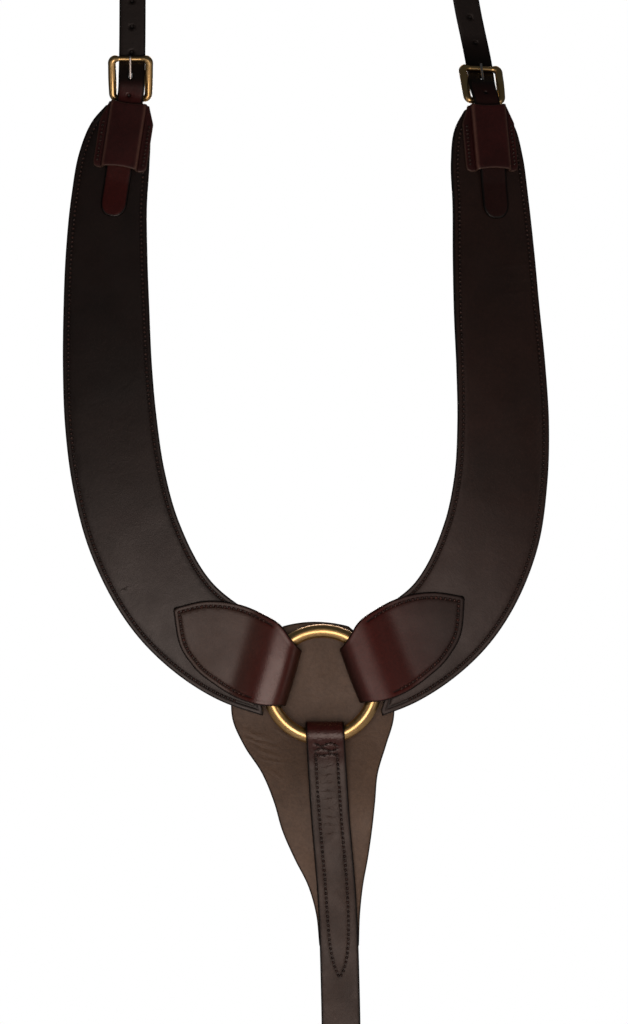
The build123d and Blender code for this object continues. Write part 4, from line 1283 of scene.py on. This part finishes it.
FINISHES = {
    # The two shoulders are the same leather: the right one's lighter colours are painted light, the
    # left one's darker colours painted shade.
    "left_arm": leather_finish("left_arm_shaded_leather", srgb(36, 24, 21), srgb(25, 18, 16), BLACK_EDGE_AND_GROOVE_SHADE,
                               rough=(0.38, 0.48), wrinkles=0.14, grain=0.2, creases_at=ARM_CREASES),
    "right_arm": leather_finish("right_arm_lit_leather", srgb(52, 34, 29), srgb(40, 27, 23), BLACK_EDGE_AND_GROOVE_SHADE,
                                rough=(0.4, 0.5), gloss=0.45, wrinkles=0.14, grain=0.2,
                                creases_at=ARM_CREASES),
    "lining": leather_finish("lining_leather", srgb(44, 33, 28), srgb(32, 24, 20), BLACK_EDGE_AND_GROOVE_SHADE,
                             rough=(0.45, 0.6)),
    # The two chapes are the same leather: the left one's lighter colours are painted light, the right
    # one's darker colours painted shade.
    "left_chape": leather_finish("left_chape_leather", srgb(64, 42, 30), srgb(48, 30, 22), BLACK_EDGE_AND_GROOVE_SHADE,
                                 rough=(0.38, 0.48), gloss=0.45, coat=0.05, wrinkles=0.08, grain=0.15,
                                 tint_and_painted_light=srgb(84, 28, 23)),
    "right_chape": leather_finish("right_chape_leather", srgb(42, 25, 20), srgb(32, 19, 16), BLACK_EDGE_AND_GROOVE_SHADE,
                                  rough=(0.48, 0.58), gloss=0.34, coat=0.03, wrinkles=0.08, grain=0.15,
                                  tint_and_painted_light=srgb(84, 28, 23)),
    # The box loop's lighter tint along its roof edges and its lighter rim colour are painted
    # highlights.
    "loop": leather_finish("loop_leather_painted_highlight", srgb(74, 30, 30), srgb(52, 23, 22), BLACK_EDGE_AND_GROOVE_SHADE,
                           rough=(0.36, 0.46), gloss=0.42, wrinkles=0.1, grain=0.15,
                           tint_and_painted_light=srgb(116, 84, 74), rim=(0.2, 0.9), rim_paint_and_highlight=srgb(84, 64, 56)),
    "safe": leather_finish("safe_leather", srgb(114, 92, 73), srgb(92, 73, 57), BLACK_EDGE_AND_GROOVE_SHADE,
                           rough=(0.46, 0.56), wrinkles=0.3, grain=0.3, creases_at=SAFE_CREASES),
    "strap": leather_finish("strap_leather", srgb(62, 44, 34), srgb(42, 30, 24), BLACK_EDGE_AND_GROOVE_SHADE,
                            rough=(0.38, 0.52), gloss=0.42, wrinkles=0.35, grain=0.3,
                            tint_and_painted_light=srgb(68, 28, 24), rim=(0.7, 2.0), creases_at=STRAP_CREASES),
    "saddle": leather_finish("saddle_leather", srgb(33, 23, 20), srgb(24, 17, 15), BLACK_EDGE_AND_GROOVE_SHADE,
                             rough=(0.42, 0.54), gloss=0.35, wrinkles=0.15, grain=0.25,
                             tint_and_painted_light=srgb(72, 27, 25), rim=(0.7, 1.8)),
    "thread": thread_finish("waxed_thread", srgb(66, 42, 36), srgb(30, 19, 16)),
    "chape_thread": thread_finish("chape_thread", srgb(84, 48, 41), srgb(34, 20, 17)),
    "girth_thread": thread_finish("girth_thread", srgb(62, 40, 35), srgb(24, 16, 14)),
    "brass": brass_finish("polished_brass", srgb(236, 206, 148), srgb(222, 188, 126)),
    "steel": brass_finish("bright_steel", srgb(232, 231, 229), srgb(214, 213, 211)),
}
for name, finish in PIECES.items():
    obj = bpy.data.objects[name]
    obj.data.materials.clear()
    obj.data.materials.append(FINISHES[finish])

# ------------------------------------------------------------------ floor, light and camera


def plain(name, colour, rough):
    n = Nodes(name)
    darker = (*(c * 0.99 for c in colour[:3]), 1.0)
    _, tone = n.clouds(n.coordinates(), colour, darker, (3.0, 2.0, 0.5), 0.3, 0.7)
    return n.finish(tone, Roughness=rough)


bpy.ops.mesh.primitive_circle_add(vertices=96, radius=1.6, fill_type="NGON", location=(0, 0, -0.62))
floor = bpy.context.object
floor.name = "floor"
paper = plain("floor_paper", (0.86, 0.86, 0.86, 1.0), 0.9)
paper_nodes = paper.node_tree
seen_ray = paper_nodes.nodes.new("ShaderNodeLightPath")
paper_nodes.links.new(seen_ray.outputs["Is Camera Ray"],
                      paper_nodes.nodes["Principled BSDF"].inputs["Emission Strength"])
paper_nodes.nodes["Principled BSDF"].inputs["Emission Color"].default_value = (0.5, 0.5, 0.5, 1.0)
floor.data.materials.append(paper)


WARM = (1.0, 0.8, 0.71)


def lamp(name, place, aim, size, watts):
    light = bpy.data.lights.new(name, "AREA")
    light.shape = "RECTANGLE"
    light.size, light.size_y = size
    light.energy = watts
    light.color = WARM
    obj = bpy.data.objects.new(name, light)
    bpy.context.scene.collection.objects.link(obj)
    obj.location = place
    obj.rotation_euler = (Vector(aim) - Vector(place)).to_track_quat("-Z", "Y").to_euler()
    obj.visible_camera = False


lamp("front_box", (-0.06, -1.2, -0.14), (0, 0, -0.05), (0.6, 0.52), 4.5)
lamp("buckle_card", (-0.05, -1.0, 0.44), (0, 0, 0.44), (0.24, 0.2), 0.2)
lamp("left_strip", (-0.95, -0.75, 0.1), (0, 0, 0.05), (0.2, 0.9), 0.6)
lamp("right_strip", (0.95, -0.75, 0.1), (0, 0, 0.05), (0.2, 0.9), 1.0)
lamp("back_box", (0, 1.7, 0.35), (0, 0, 0.05), (0.5, 0.5), 9.0)
lamp("floor_box", (0, 0.9, 0.9), (0, 0.5, -0.62), (0.8, 0.3), 1.2)

world = bpy.data.worlds.new("studio")
bpy.context.scene.world = world
world.use_nodes = True
tree = world.node_tree
tree.nodes.clear()
paths = tree.nodes.new("ShaderNodeLightPath")
seen, around = (tree.nodes.new("ShaderNodeBackground") for _ in range(2))
for node, strength in ((seen, 1.0), (around, 0.035)):
    node.inputs["Color"].default_value = (1, 1, 1, 1)
    node.inputs["Strength"].default_value = strength
choose = tree.nodes.new("ShaderNodeMixShader")
result = tree.nodes.new("ShaderNodeOutputWorld")
tree.links.new(paths.outputs["Is Camera Ray"], choose.inputs[0])
tree.links.new(around.outputs[0], choose.inputs[1])
tree.links.new(seen.outputs[0], choose.inputs[2])
tree.links.new(choose.outputs[0], result.inputs[0])

scene = bpy.context.scene
scene.view_settings.view_transform = "Standard"
scene.view_settings.look = "None"

CAMERA_DISTANCE = 20.0
VIEW_CENTRE = (-0.0058, 0.1242)
VIEW_HEIGHT = 0.737
camera_data = bpy.data.cameras.new("photo_camera")
camera = bpy.data.objects.new("photo_camera", camera_data)
scene.collection.objects.link(camera)
camera.location = (VIEW_CENTRE[0], -CAMERA_DISTANCE, VIEW_CENTRE[1])
camera.rotation_euler = (math.radians(90), 0, 0)
camera_data.sensor_fit = "VERTICAL"
camera_data.sensor_height = 36.0
camera_data.lens = 36.0 * CAMERA_DISTANCE / VIEW_HEIGHT
camera_data.clip_end = 60.0
scene.camera = camera
